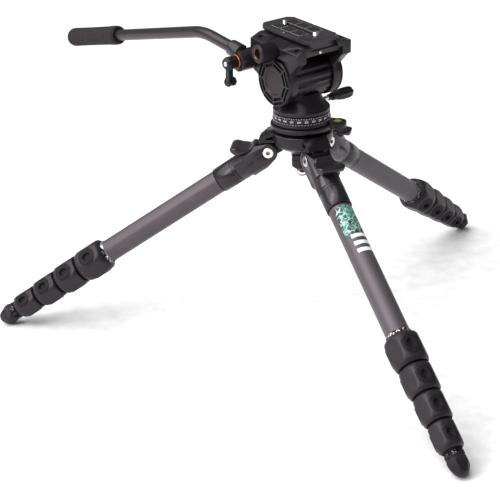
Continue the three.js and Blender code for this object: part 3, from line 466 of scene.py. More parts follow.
@dataclass(frozen=True)
class Flecked(Finish):
    """Black knurling whose raised tips show bright metal flecks: partly worn metal, partly painted glints.
    """

    def surface(self, graph: Graph, point: Wire) -> tuple[Wire, Wire, Wire]:
        """Bright tips scattered over black, as worn metal and as painted glints.

        Args:
            graph: the material's graph.
            point: local coordinates, mm.

        Returns:
            Colour, roughness and height wires.
        """
        tips = graph.cells(point, self.grain)
        worn = graph.noise(point, self.grain * 2.5, 3)
        # painted glints: bright flecks on the raised tips, partly worn bare metal
        share = tips.ramp(0.62, 0.3) * worn.ramp(0.4, 0.56)
        colour = graph.blend(share, (0.006, 0.006, 0.0065), self.colour)
        return colour, self.roughness + 0.2 * worn, 1 - tips


@dataclass(frozen=True)
class Leatherette(Finish):
    """Grippy sheet with a grid of tiny raised dots, painted paler on top as a painted highlight.

    Attributes:
        pitch: distance between dots, mm.
    """

    pitch: float = 1.1

    def surface(self, graph: Graph, point: Wire) -> tuple[Wire, Wire, Wire]:
        """Dots in rows, their raised tops painted paler as a painted highlight.

        Args:
            graph: the material's graph.
            point: local coordinates, mm.

        Returns:
            Colour, roughness and height wires.
        """
        rows = (point.axis(0) * (TURN / self.pitch)).math("SINE")
        columns = (point.axis(1) * (TURN / self.pitch)).math("SINE")
        dots = (rows * columns).ramp(0.1, 0.8)
        colour, roughness, _ = Finish.surface(self, graph, point)
        # painted highlight: the raised dots are painted paler
        return graph.blend(dots, colour, tinted(self.colour, 1.5)), roughness, dots


@dataclass(frozen=True)
class LevelFluid(Finish):
    """Dyed spirit under a clear dome, brighter around its middle."""

    def surface(self, graph: Graph, point: Wire) -> tuple[Wire, Wire, Wire]:
        """Paler in the middle, darker towards the rim.

        Args:
            graph: the material's graph.
            point: local coordinates, mm.

        Returns:
            Colour, roughness and height wires.
        """
        x, y = point.axis(0), point.axis(1)
        middle = (x * x + y * y).math("SQRT")
        cloud = graph.noise(point, 1.5, 2)
        share = (middle.ramp(2.0, 6.5) * 0.8 + 0.2 * cloud).ramp(0.0, 1.0)
        colour = graph.blend(share, tinted(self.colour, 1.25), tinted(self.colour, 0.55))
        return colour, self.roughness + 0.05 * cloud, cloud


@dataclass(frozen=True)
class PrintedBand(Finish):
    """Plain tube with a printed abstract wrap: sea-green marbling, then pale stripes.

    Attributes:
        start: where the marbling starts on the tube's own axis, mm.
        marble: length of the marbling.
        stripes: length of the striped part after it.
        middle: direction that the print faces, radians from local X.
        half_angle: how far the marbling reaches round, radians.
        green: marbling colour.
        pale_green: ink of the veins.
        pale: ink of the stripes.
    """

    start: float = -90.0
    marble: float = 42.0
    stripes: float = 34.0
    middle: float = 0.25
    half_angle: float = 1.35
    green: Colour = (0.06, 0.21, 0.18)
    pale_green: Colour = (0.36, 0.66, 0.55)
    pale: Colour = (0.82, 0.84, 0.82)

    def surface(self, graph: Graph, point: Wire) -> tuple[Wire, Wire, Wire]:
        """Ink over the bare tube's streaks.

        Args:
            graph: the material's graph.
            point: local coordinates, mm.

        Returns:
            Colour, roughness and height wires.
        """
        along = graph.noise(point.stretched(1, 1, 0.03), 0.55, 3)
        cloud = graph.noise(point, 30, 2)
        pale, deep = tinted(self.colour, 1.3), tinted(self.colour, 0.72)
        bare = graph.blend(0.6 * along + 0.4 * cloud, deep, pale)
        down = self.start - point.axis(2)
        facing = point.axis(1).math("ARCTAN2", point.axis(0))
        side = abs(facing - self.middle).ramp(self.half_angle, self.half_angle - 0.15)
        swirl = graph.noise(point.stretched(1, 1, 0.6), 10, 5)
        veins = abs(graph.noise(point, 7.5, 4) - 0.5).ramp(0.05, 0.01)
        edge = down + 14 * swirl
        marbled = edge.ramp(4, 8) * edge.ramp(self.marble + 9, self.marble + 5) * side
        ink = graph.blend(swirl.ramp(0.42, 0.62), (0.012, 0.016, 0.019), self.green)
        ink = graph.blend(veins * 0.8, ink, self.pale_green)
        colour = graph.blend(marbled, bare, ink)
        lines = ((down - self.marble - 2) * (TURN / 11.3)).math("SINE").ramp(-0.1, 0.1)
        within = down.ramp(self.marble + 2, self.marble + 2.6)
        within = within * down.ramp(self.marble + self.stripes + 0.6, self.marble + self.stripes)
        printed = lines * within * abs(facing - self.middle).ramp(0.85, 0.8)
        colour = graph.blend(printed, colour, self.pale)
        return colour, self.roughness - 0.08 * marbled, along


BLACK_METAL = Anodised(
    "black_anodised", (0.0078, 0.007, 0.0078), 0.3, 0.15, specular=0.38, grain=0.35, relief=0.012
)
COLLAR_METAL = Anodised(
    "collar_anodised", (0.0115, 0.01, 0.0115), 0.29, 0.15, specular=0.5, grain=0.35, relief=0.01
)
PLATE_METAL = Anodised(
    "plate_anodised", (0.027, 0.0235, 0.026), 0.36, 0.2, specular=0.42, grain=0.3, relief=0.012
)
TAB_METAL = Anodised(
    "tab_gloss", (0.011, 0.0095, 0.011), 0.3, 0.0, specular=0.5, grain=2.5, relief=0.01
)
HANDLE_METAL = Anodised(
    "handle_satin", (0.019, 0.0165, 0.0185), 0.3, 0.2, specular=0.5, grain=0.4, relief=0.012
)
CARBON = CarbonTube("carbon_tube", (0.066, 0.057, 0.062), 0.42, 0.15, specular=0.45, relief=0.02)
LOCK_RUBBER = Rubber(
    "lock_rubber", (0.0115, 0.01, 0.0115), 0.43, specular=0.34, grain=0.5, relief=0.035
)
PAD_RUBBER = Rubber(
    "lock_pad_rubber", (0.005, 0.0046, 0.0052), 0.62, specular=0.22, grain=1.3, relief=0.26
)
FOOT_RUBBER = Rubber(
    "foot_rubber", (0.0065, 0.0069, 0.0069), 0.5, specular=0.3, grain=0.6, relief=0.05
)
SEAM = Finish("plate_seam", (0.3, 0.265, 0.26), 0.6, grain=0.3, relief=0.01)
PLATE_RUBBER = Leatherette("plate_rubber", (0.012, 0.0105, 0.011), 0.7, specular=0.25, relief=0.12)
PLASTIC = Finish(
    "moulded_plastic", (0.0075, 0.0071, 0.0078), 0.42, specular=0.32, grain=0.45, relief=0.03
)
COVER_PLASTIC = Finish(
    "cover_plastic", (0.0085, 0.0076, 0.0083), 0.36, specular=0.36, grain=0.4, relief=0.025
)
BADGE = Finish(
    "cover_disc", (0.015, 0.0105, 0.0095), 0.4, 0.2, specular=0.4, grain=0.3, relief=0.015
)
STEEL = TurnedMetal("bright_steel", (0.72, 0.7, 0.67), 0.2, 1.0, grain=0.25, relief=0.008)
SOCKET_STEEL = TurnedMetal("socket_steel", (0.34, 0.3, 0.25), 0.35, 1.0, grain=0.3, relief=0.01)
KNURL = Flecked("knurled_ring", (0.8, 0.79, 0.76), 0.22, 1.0, grain=1.7, relief=0.05)
FOOT_KNURL = Flecked("foot_knurl", (0.12, 0.118, 0.115), 0.34, 1.0, grain=2.2, relief=0.08)
BRONZE = TurnedMetal("bronze_liner", (0.13, 0.08, 0.045), 0.3, 0.9, grain=0.3, relief=0.01)
WASHER = TurnedMetal("orange_washer", (0.68, 0.24, 0.035), 0.32, 0.55, grain=0.4, relief=0.01)
DIAL = Anodised(
    "dial_black", (0.0085, 0.0081, 0.0089), 0.36, 0.1, specular=0.3, grain=0.35, relief=0.01
)
INK = Finish("white_ink", (0.85, 0.84, 0.83), 0.55, grain=0.3, relief=0.01)
# near-black finish: the real dark joint of the collar seal and the rosette's black teeth, and painted
# shade in the lock necks, the stop pockets and the cover slots
DARK_JOINT_AND_SHADE = Finish("dark_joint_and_painted_shade", (0.003, 0.003, 0.003), 0.7, specular=0.15, grain=0.4, relief=0.02)
FLUID = LevelFluid("level_fluid", (0.42, 0.68, 0.045), 0.08, coat=1.0, relief=0.004)
BUBBLE = Finish("level_bubble", (0.78, 0.93, 0.5), 0.06, coat=1.0, grain=2.0, relief=0.002)
GRIP_FOAM = Foam("grip_foam", (0.021, 0.0185, 0.0205), 0.85, specular=0.2, grain=1.3, relief=0.3)
WRAP = PrintedBand("printed_wrap", (0.066, 0.057, 0.062), 0.42, 0.1, specular=0.45, relief=0.015)


# ---------------------------------------------------------------------------------------------
# Places and forms
# ---------------------------------------------------------------------------------------------


class Axis(Enum):
    """The axis that an outline is extruded along, with the axes its points lie on."""

    X = (1, 2, 0)
    Y = (0, 2, 1)
    Z = (0, 1, 2)

    def point(self, first: float, second: float, along: float) -> Vector:
        """A point from the outline's two coordinates and its height.

        Args:
            first: the outline's first coordinate.
            second: its second.
            along: the height.

        Returns:
            The point.
        """
        place = [0.0, 0.0, 0.0]
        for index, value in zip(self.value, (first, second, along)):
            place[index] = value
        return Vector(place)


@dataclass(frozen=True)
class Place:
    """A local frame whose coordinates are millimetres.

    Attributes:
        matrix: from local metres to the row frame.
    """

    matrix: Matrix

    @classmethod
    def at(cls, origin: Sequence[float], x: Sequence[float], z: Sequence[float]) -> "Place":
        """Makes a frame from its origin, X axis and Z axis.

        Args:
            origin: in the row frame, metres.
            x: direction of local X.
            z: direction of local Z, squared up against X.

        Returns:
            The place.
        """
        across = Vector(x).normalized()
        up = Vector(z)
        up = (up - across * up.dot(across)).normalized()
        matrix = Matrix((across, up.cross(across), up)).transposed().to_4x4()
        matrix.translation = Vector(origin)
        return cls(matrix)

    def shifted(self, x: float, y: float, z: float) -> "Place":
        """The same axes from another local point, in millimetres."""
        return Place(self.matrix @ Matrix.Translation(Vector((x, y, z)) * MILLIMETRE))

    def facing(self, direction: Sequence[float]) -> "Place":
        """The same origin with local Z turned to a local direction."""
        turn = Vector((0, 0, 1)).rotation_difference(Vector(direction))
        return Place(self.matrix @ turn.to_matrix().to_4x4())

    def spun(self, degrees: float) -> "Place":
        """The same place turned about its own Z."""
        return Place(self.matrix @ Matrix.Rotation(math.radians(degrees), 4, "Z"))


class Form:
    """A closed mesh in the millimetres of its place."""

    def __init__(self) -> None:
        """Starts empty."""
        self.mesh = bmesh.new()

    def _face(self, corners: Sequence[bmesh.types.BMVert], paint: int = 0) -> None:
        """Adds a face unless its corners coincide.

        Args:
            corners: its corners in order.
            paint: finish number.
        """
        unique = list(dict.fromkeys(corners))
        if len(unique) > 2:
            self.mesh.faces.new(unique).material_index = paint

    def turned(
        self,
        profile: Outline,
        sides: int = 64,
        shape: RadiusRule | None = None,
        paint: PaintRule | None = None,
    ) -> "Form":
        """Adds a body of revolution about Z.

        Args:
            profile: (radius, z) points; a profile off the axis at both ends closes on itself.
            sides: steps around.
            shape: radius from (radius, z, angle).
            paint: finish number from (z, angle); 0 without a rule.

        Returns:
            This form.
        """
        rows = []
        for radius, z in profile:
            if radius <= 0:
                rows.append([self.mesh.verts.new((0, 0, z))] * sides)
                continue
            row = []
            for step in range(sides):
                angle = TURN * step / sides
                reach = shape(radius, z, angle) if shape else radius
                spot = (reach * math.cos(angle), reach * math.sin(angle), z)
                row.append(self.mesh.verts.new(spot))
            rows.append(row)
        pairs = list(zip(range(len(rows) - 1), range(1, len(rows))))
        if profile[0][0] > 0 and profile[-1][0] > 0:
            pairs.append((len(rows) - 1, 0))
        for low, high in pairs:
            lower, upper = rows[low], rows[high]
            middle = (profile[low][1] + profile[high][1]) / 2
            for step in range(sides):
                after = (step + 1) % sides
                index = paint(middle, TURN * (step + 0.5) / sides) if paint else 0
                self._face([lower[step], lower[after], upper[after], upper[step]], index)
        return self

    def prism(self, outline: Outline, low: float, high: float, axis: Axis = Axis.Z) -> "Form":
        """Adds an outline extruded along an axis.

        Args:
            outline: its corners in order.
            low: start along the axis.
            high: end along the axis.
            axis: which axis.

        Returns:
            This form.
        """
        near, far = (
            [self.mesh.verts.new(axis.point(*p, along)) for p in outline] for along in (low, high)
        )
        return self._tube([near, far])

    def _tube(self, rows: Sequence[Sequence[bmesh.types.BMVert]]) -> "Form":
        """Joins rings of corners one after another and closes both ends.

        Args:
            rows: the rings, each in the same order.

        Returns:
            This form.
        """
        for lower, upper in zip(rows, rows[1:]):
            for step in range(len(lower)):
                after = (step + 1) % len(lower)
                self._face([lower[step], lower[after], upper[after], upper[step]])
        self._face(rows[0][::-1])
        self._face(rows[-1])
        return self

    def swept(self, points: Sequence[Vector], radius: float, sides: int = 24) -> "Form":
        """Adds a round bar along a line of points.

        Args:
            points: its centre line.
            radius: its radius.
            sides: steps around.

        Returns:
            This form.
        """
        rows = []
        across = None
        for index, point in enumerate(points):
            before = points[max(index - 1, 0)]
            after = points[min(index + 1, len(points) - 1)]
            along = (after - before).normalized()
            if across is None:
                across = along.orthogonal().normalized()
            across = (across - along * across.dot(along)).normalized()
            other = along.cross(across)
            angles = [TURN * step / sides for step in range(sides)]
            offsets = [across * math.cos(a) + other * math.sin(a) for a in angles]
            rows.append([self.mesh.verts.new(point + radius * offset) for offset in offsets])
        return self._tube(rows)

    def lettered(self, text: str, height: float, depth: float, bend: float) -> "Form":
        """Adds plain figures wrapped round Z, upright, outside a radius.

        Args:
            text: the figures.
            height: their height.
            depth: how far they stand out.
            bend: radius that they lie on; their middle faces local X.

        Returns:
            This form.
        """
        curve = bpy.data.curves.new("figures", "FONT")
        curve.body, curve.size, curve.align_x = text, height * FONT_SIZE, "CENTER"
        curve.extrude, curve.resolution_u = depth / 2, 2
        maker = bpy.data.objects.new("figures", curve)
        bpy.context.scene.collection.objects.link(maker)
        mesh = finished_mesh(maker)
        start = len(self.mesh.verts)
        self.mesh.from_mesh(mesh)
        self.mesh.verts.ensure_lookup_table()
        for vert in self.mesh.verts[start:]:
            reach, angle = bend + vert.co.z, vert.co.x / bend
            vert.co = (reach * math.cos(angle), reach * math.sin(angle), vert.co.y)
        bpy.data.objects.remove(maker)
        bpy.data.meshes.remove(mesh)
        return self

    def moved(self, matrix: Matrix) -> "Form":
        """Applies a local transform to the whole form."""
        bmesh.ops.transform(self.mesh, matrix=matrix, verts=self.mesh.verts)
        return self

    def at(self, x: float, y: float, z: float) -> "Form":
        """Moves the whole form."""
        return self.moved(Matrix.Translation((x, y, z)))

    def along(self, direction: Sequence[float]) -> "Form":
        """Turns the form's Z to a direction."""
        turn = Vector((0, 0, 1)).rotation_difference(Vector(direction))
        return self.moved(turn.to_matrix().to_4x4())

    def spun(self, degrees: float) -> "Form":
        """Turns the form about Z."""
        return self.moved(Matrix.Rotation(math.radians(degrees), 4, "Z"))

    def add(self, other: "Form") -> "Form":
        """Takes in another form's faces as they are.

        Args:
            other: the form to take in.

        Returns:
            This form.
        """
        mesh = bpy.data.meshes.new("part")
        other.mesh.to_mesh(mesh)
        self.mesh.from_mesh(mesh)
        bpy.data.meshes.remove(mesh)
        return self

    def _holder(self) -> bpy.types.Object:
        """A scratch object that holds the form.

        Returns:
            The object.
        """
        mesh = bpy.data.meshes.new("scratch")
        bmesh.ops.recalc_face_normals(self.mesh, faces=self.mesh.faces)
        self.mesh.to_mesh(mesh)
        holder = bpy.data.objects.new("scratch", mesh)
        bpy.context.scene.collection.objects.link(holder)
        return holder

    def cut(self, *tools: "Form") -> "Form":
        """Takes the tools' shapes out of this form.

        Args:
            tools: closed forms in the same place.

        Returns:
            This form.
        """
        whole = Form()
        for tool in tools:
            whole.add(tool)
        body, cutter = self._holder(), whole._holder()
        boolean = body.modifiers.new("cut", "BOOLEAN")
        boolean.object, boolean.operation, boolean.solver = cutter, "DIFFERENCE", "EXACT"
        boolean.use_self = True
        self._become(body)
        bmesh.ops.remove_doubles(self.mesh, verts=self.mesh.verts, dist=0.005)
        bpy.data.objects.remove(cutter)
        return self

    def _become(self, holder: bpy.types.Object) -> None:
        """Takes the shape that a scratch object's modifiers give, and removes the object.

        Args:
            holder: the scratch object.
        """
        result = finished_mesh(holder)
        self.mesh.clear()
        self.mesh.from_mesh(result)
        bpy.data.objects.remove(holder)
        bpy.data.meshes.remove(result)

    def softened(self, grain: float, rounds: int) -> "Form":
        """Melts every edge and corner into smooth curves.

        Args:
            grain: size of the faces that the surface is rebuilt from.
            rounds: how often it is smoothed.

        Returns:
            This form.
        """
        body = self._holder()
        rebuild = body.modifiers.new("rebuild", "REMESH")
        rebuild.mode, rebuild.voxel_size = "VOXEL", grain
        smooth = body.modifiers.new("smooth", "SMOOTH")
        smooth.factor, smooth.iterations = 0.6, rounds
        self._become(body)
        return self


def finished_mesh(holder: bpy.types.Object) -> bpy.types.Mesh:
    """A new mesh of an object as its modifiers leave it."""
    return bpy.data.meshes.new_from_object(
        holder.evaluated_get(bpy.context.evaluated_depsgraph_get())
    )


def eased(profile: Outline, ease: float) -> Outline:
    """Rounds the corners of a profile.

    Args:
        profile: the sharp points.
        ease: length taken from each side of a corner.

    Returns:
        The rounded points.
    """
    points = [Vector(p) for p in profile]
    rounded = [profile[0]]
    slight = math.radians(12)
    for before, here, after in zip(points, points[1:], points[2:]):
        into, out = here - before, after - here
        if min(into.length, out.length) < 1e-6 or into.angle(out) < slight:
            rounded.append(tuple(here))
            continue
        share = min(ease, into.length * 0.45, out.length * 0.45)
        first, last = here - into.normalized() * share, here + out.normalized() * share
        for t in (0, 0.3, 0.7, 1):
            rounded.append(tuple(first.lerp(here, t).lerp(here.lerp(last, t), t)))
    rounded.append(profile[-1])
    return rounded


def smooth_rows(profile: Outline, rows: int) -> Outline:
    """Resamples a profile at even heights along a smooth curve through its points.

    Args:
        profile: (radius, z) points with z always falling or rising.
        rows: how many points to return.

    Returns:
        The dense profile.
    """
    points = []
    for index in range(rows):
        share = index / (rows - 1) * (len(profile) - 1)
        low = min(int(share), len(profile) - 2)
        t = share - low
        window = [profile[max(0, min(len(profile) - 1, low + k))] for k in (-1, 0, 1, 2)]
        point = []
        for a, b, c, d in zip(*window):
            square, cube = 2 * a - 5 * b + 4 * c - d, 3 * b - a - 3 * c + d
            point.append(0.5 * (2 * b + (c - a) * t + square * t * t + cube * t**3))
        points.append((point[0], point[1]))
    return points


def swell(value: float, low: float, high: float) -> float:
    """Smooth step from 0 at low to 1 at high."""
    share = max(0.0, min(1.0, (value - low) / (high - low)))
    return share * share * (3 - 2 * share)


def around(count: int, start: float = 0.0) -> list[float]:
    """Evenly spaced angles in degrees."""
    return [start + 360 * k / count for k in range(count)]


def hexagon(radius: float, start: float = 0.0) -> Outline:
    """Corners of a hexagon, the first at a start angle in degrees."""
    turns = [math.radians(angle) for angle in around(6, start)]
    return [(radius * math.cos(turn), radius * math.sin(turn)) for turn in turns]


def block(x: Span, y: Span, z: Span, corner: float = 0.0) -> Form:
    """A box with clipped upright corners.

    Args:
        x: low and high along X.
        y: low and high along Y.
        z: low and high along Z.
        corner: how much each upright corner loses.

    Returns:
        The box.
    """
    left, right = x
    near, far = y
    if corner <= 0:
        return Form().prism([(left, near), (right, near), (right, far), (left, far)], *z)
    outline = [
        (left + corner, near),
        (right - corner, near),
        (right, near + corner),
        (right, far - corner),
        (right - corner, far),
        (left + corner, far),
        (left, far - corner),
        (left, near + corner),
    ]
    return Form().prism(outline, *z)


# ---------------------------------------------------------------------------------------------
# Bench
# ---------------------------------------------------------------------------------------------


class Bench:
    """Sets forms in the frame as dressed pieces, and answers where the frame's solids are."""

    def __init__(self, frame: dict) -> None:
        """Keeps the frame at hand.
        """
        self.nodes = frame["nodes"]
        self.joints = {joint["name"]: joint for joint in frame["joints"]}
        self.looks: dict[str, bpy.types.Material] = {}

    def look(self, finish: Finish) -> bpy.types.Material:
        """The material of a finish, made once.

        Args:
            finish: the finish.

        Returns:
            The material.
        """
        if finish.name not in self.looks:
            self.looks[finish.name] = finish.material()
        return self.looks[finish.name]

    def span(self, node: str, place: Place) -> tuple[Vector, Vector]:
        """Lowest and highest corner of a solid along a place's axes.

        Args:
            node: the solid.
            place: whose axes to measure along.

        Returns:
            Both corners, in millimetres.
        """
        inverse = place.matrix.inverted()
        points = [(inverse @ v.co) / MILLIMETRE for v in self.nodes[node].data.vertices]
        low = Vector([min(p[k] for p in points) for k in range(3)])
        high = Vector([max(p[k] for p in points) for k in range(3)])
        return low, high

    def copied(self, node: str, place: Place) -> Form:
        """The shape of a solid, with its flat faces whole again, ready to refine.

        Args:
            node: the solid.
            place: the place that the form is in.

        Returns:
            The form.
        """
        form = Form()
        form.mesh.from_mesh(self.nodes[node].data)
        form.moved(Matrix.Scale(1 / MILLIMETRE, 4) @ place.matrix.inverted())
        bmesh.ops.remove_doubles(form.mesh, verts=form.mesh.verts, dist=0.003)
        bmesh.ops.dissolve_limit(
            form.mesh, angle_limit=math.radians(1), verts=form.mesh.verts, edges=form.mesh.edges
        )
        for face in form.mesh.faces:
            face.material_index = 0
        return form

    def piece(
        self,
        name: str,
        form: Form,
        place: Place,
        finishes: Sequence[Finish],
        body: str,
        nodes: Sequence[str] = (),
        slot: str = "anodised",
        bevel: float = 0.0,
        crease: float = 38.0,
    ) -> bpy.types.Object:
        """Sets a form in the frame.

        Args:
            name: the piece's name.
            form: its shape.
            place: where it is.
            finishes: its finishes, in the order of their numbers.
            body: the body that it rides on.
            nodes: the solids that it stands for.
            slot: the record's material slot; not used.
            bevel: width of the rounding on its edges, mm.
            crease: angle above which an edge stays crisp, degrees.

        Returns:
            The piece.
        """
        bmesh.ops.remove_doubles(form.mesh, verts=form.mesh.verts, dist=0.002)
        bmesh.ops.recalc_face_normals(form.mesh, faces=form.mesh.faces)
        form.moved(Matrix.Scale(MILLIMETRE, 4))
        mesh = bpy.data.meshes.new(name)
        form.mesh.to_mesh(mesh)
        form.mesh.free()
        for finish in finishes:
            mesh.materials.append(self.look(finish))
        for polygon in mesh.polygons:
            polygon.use_smooth = True
        piece = bpy.data.objects.new(name, mesh)
        bpy.context.scene.collection.objects.link(piece)
        piece.matrix_world = place.matrix
        if bevel:
            rounding = piece.modifiers.new("rounding", "BEVEL")
            rounding.width, rounding.segments = bevel * MILLIMETRE, 2
            rounding.limit_method, rounding.angle_limit = "ANGLE", math.radians(crease)
            rounding.harden_normals, rounding.use_clamp_overlap = True, True
            rounding.miter_outer = "MITER_ARC"
        else:
            mesh.set_sharp_from_angle(angle=math.radians(crease))
            weight = piece.modifiers.new("weight", "WEIGHTED_NORMAL")
            weight.keep_sharp = True
        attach(piece, body)
        if nodes:
            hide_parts(*nodes)
        LOG.info("%s: %d faces on %s", name, len(mesh.polygons), body)
        return piece


# ---------------------------------------------------------------------------------------------
# Legs
# ---------------------------------------------------------------------------------------------


@dataclass
class LockSizes:
    """Twist lock, mm.

    Attributes:
        top: radius where it starts.
        belly: largest radius.
        end: radius where it ends.
    """

    top: float
    belly: float
    end: float


@dataclass
class Leg:
    """One leg: clevis collar, angle tab, five tubes, four twist locks and a foot.

    Attributes:
        bench: where pieces are made.
        side: which leg.
        locks: the twist locks, thickest first.
        facets: flats around a lock.
        facet_depth: how far a flat cuts into the belly, as a share of it.
        lock_turn: how far the locks are twisted about the leg, degrees.
        collar_radius: outside of the collar.
        groove_depth: depth of the two rings on the collar.
        tube_wall: wall of a tube.
        collar_rings: distances of the rings from the collar's lower end.
        foot_flats: flats around the foot's tip.
        foot_flat: distance of a flat from the middle, as a share of the radius.
        foot_radius: radius of the tip's ball.
        foot_teeth: ridges around the foot's upper ring.
        wrapped: whether the first tube is printed.
    """

    bench: Bench
    side: str
    locks: list[LockSizes] = field(
        default_factory=lambda: [
            LockSizes(18.6, 25.8, 21.0),
            LockSizes(21.2, 23.9, 19.4),
            LockSizes(19.3, 21.9, 17.5),
            LockSizes(17.3, 19.4, 14.2),
        ]
    )
    facets: int = 6
    facet_depth: float = 0.105
    lock_turn: float = 0.0
    collar_radius: float = 18.0
    groove_depth: float = 0.7
    tube_wall: float = 1.2
    collar_rings: tuple[float, ...] = (27.5, 31.5)
    foot_flats: int = 6
    foot_flat: float = 0.84
    foot_radius: float = 15.5
    foot_teeth: int = 24
    wrapped: bool = False

    def __post_init__(self) -> None:
        """Finds the leg's own frame from its joints."""
        hinge = self.bench.joints[f"leg_spread_{self.side}"]["pos_m"]
        down = Vector(self.bench.joints[f"section_2_{self.side}_slide"]["axis"])
        upper = self.bench.joints[f"angle_tab_pull_{self.side}"]["axis"]
        self.place = Place.at(hinge, upper, -down)

    def build(self) -> None:
        """Makes every piece of the leg."""
        self.collar()
        self.bolt()
        self.angle_tab()
        for number in range(1, 6):
            self.tube(number)
        for number in range(1, 5):
            self.twist_lock(number)
        self.foot()

    def body_of(self, section: int) -> str:
        """The body that a section rides on."""
        return f"leg_{self.side}" if section == 1 else f"section_{section}_{self.side}"

    def collar(self) -> None:
        """Clevis collar with two turned rings."""
        node = f"leg_collar_{self.side}"
        bottom = self.bench.span(node, self.place)[0].z
        form = self.bench.copied(node, self.place)
        inner, outer = self.collar_radius - self.groove_depth, self.collar_radius + 3
        rings = []
        for height in self.collar_rings:
            middle = bottom + height
            profile = [
                (inner, middle - 0.7),
                (outer, middle - 1.1),
                (outer, middle + 1.1),
                (inner, middle + 0.7),
            ]
            rings.append(Form().turned(profile, 48))
        form.cut(*rings)
        name, body = f"collar_{self.side}", self.body_of(1)
        self.bench.piece(name, form, self.place, [COLLAR_METAL], body, [node], bevel=0.45)
        under, upper = bottom - 0.9, bottom - 0.1
        lip = [(16.3, under), (17.3, under), (17.5, upper), (16.3, upper)]
        seal = Form().turned(eased(lip, 0.2), 64)
        self.bench.piece(f"collar_seal_{self.side}", seal, self.place, [DARK_JOINT_AND_SHADE], body)

    def bolt(self) -> None:
        """Pivot bolt with dished heads and hex sockets."""
        node = f"pivot_bolt_{self.side}"
        low, high = self.bench.span(node, self.place)
        half, head, shank = high.y, (high.x - low.x) / 2, 4.0
        profile = [(0, -half)]
        for sign in (-1, 1):
            inner, outer = sign * (half - 2.6), sign * half
            edge = outer - sign * 0.9
            ring = [(head - 2.2, outer), (head - 0.9, outer), (head, edge)]
            ring += [(head, inner), (shank, inner)]
            profile += ring if sign < 0 else ring[::-1]
        profile.append((0, half))
        form = Form().turned(eased(profile, 0.35), 48)
        ends = ((-half - 1, -half + 3.4), (half - 3.4, half + 1))
        form.cut(*[Form().prism(hexagon(3.05, 30), *end) for end in ends])
        for face in form.mesh.faces:
            centre = face.calc_center_median()
            inside = Vector((centre.x, centre.y)).length < 3.2 and abs(centre.z) > half - 4
            face.material_index = 1 if inside and abs(centre.z) < half - 0.05 else 0
        form.along((0, 1, 0))
        finishes = [STEEL, SOCKET_STEEL]
        self.bench.piece(f"bolt_{self.side}", form, self.place, finishes, "crown", [node], "steel")

    def angle_tab(self) -> None:
        """Pull-out angle stop, a saddle-backed paddle."""
        node = f"angle_tab_{self.side}"
        low, high = self.bench.span(node, self.place)
        form = self.bench.copied(node, self.place).softened(0.9, 24)
        length = high.z - low.z
        for point in (vertex.co for vertex in form.mesh.verts):
            far = (high.z - point.z) / length
            lift = (point.x - low.x) / (high.x - low.x)
            narrow = 0.72 + 0.28 * swell(far, 0.1, 0.8)
            lowered = 1 - 0.34 * swell(far, 0.62, 0.2) - 0.16 * swell(abs(far - 0.45), 0.3, 0.1)
            tucked = 3.4 * swell(far, 0.72, 1.0) * (1 - lift)
            point.y *= narrow
            point.x = low.x + (point.x - low.x) * lowered + tucked
        form.softened(0.9, 16)
        self.bench.piece(f"tab_{self.side}", form, self.place, [TAB_METAL], node, [node], crease=75)

    def tube(self, number: int) -> None:
        """One leg section.

        Args:
            number: 1 for the thickest.
        """
        node = f"tube_{number}_{self.side}"
        low, high = self.bench.span(node, self.place)
        outer = (high.x - low.x) / 2
        inner = outer - self.tube_wall
        profile = [(inner, low.z), (inner, high.z), (outer, high.z), (outer, low.z), (inner, low.z)]
        rounded = eased(profile, 0.25)[:-1]
        form = Form().turned(rounded, 72)
        finish = WRAP if self.wrapped and number == 1 else CARBON
        name, body = f"section_tube_{number}_{self.side}", self.body_of(number)
        self.bench.piece(name, form, self.place, [finish], body, [node], "carbon")
        if number == 1:
            self.collet(outer + 0.9, self.lock_span(1)[1] + 0.3, 4.4)

    def collet(self, radius: float, bottom: float, height: float) -> None:
        """Knurled ring above the first lock, black with bright flecks on its tips that are partly worn
        metal and partly painted glints.

        Args:
            radius: outside radius.
            bottom: lower end along the leg.
            height: its length.
        """
        teeth = round(radius * 2.2)

        def knurl(reach: float, z: float, angle: float) -> float:
            """Two crossing sets of ridges.

            Args:
                reach: radius so far.
                z: height along the axis.
                angle: turn about it.

            Returns:
                The radius there.
            """
            if reach < radius - 0.7:
                return reach
            twist = (z - bottom) / height * 2.2
            first = math.cos(teeth * angle + twist * TURN)
            second = math.cos(teeth * angle - twist * TURN)
            return reach - 0.22 + 0.22 * first * second

        heights = [bottom + height * k / 8 for k in range(9)]
        profile = [(radius - 0.85, bottom + 0.05)] + [(radius, z) for z in heights]
        profile.append((radius - 0.85, bottom + height - 0.05))
        form = Form().turned(profile, teeth * 4, knurl)
        name, body = f"lock_collet_{self.side}", self.body_of(1)
        self.bench.piece(name, form, self.place, [KNURL], body, slot="steel", crease=25)

    def lock_span(self, number: int) -> tuple[float, float]:
        """Lower and upper end of a twist lock along the leg."""
        low, high = self.bench.span(f"twist_lock_{number}_{self.side}", self.place)
        return low.z, high.z

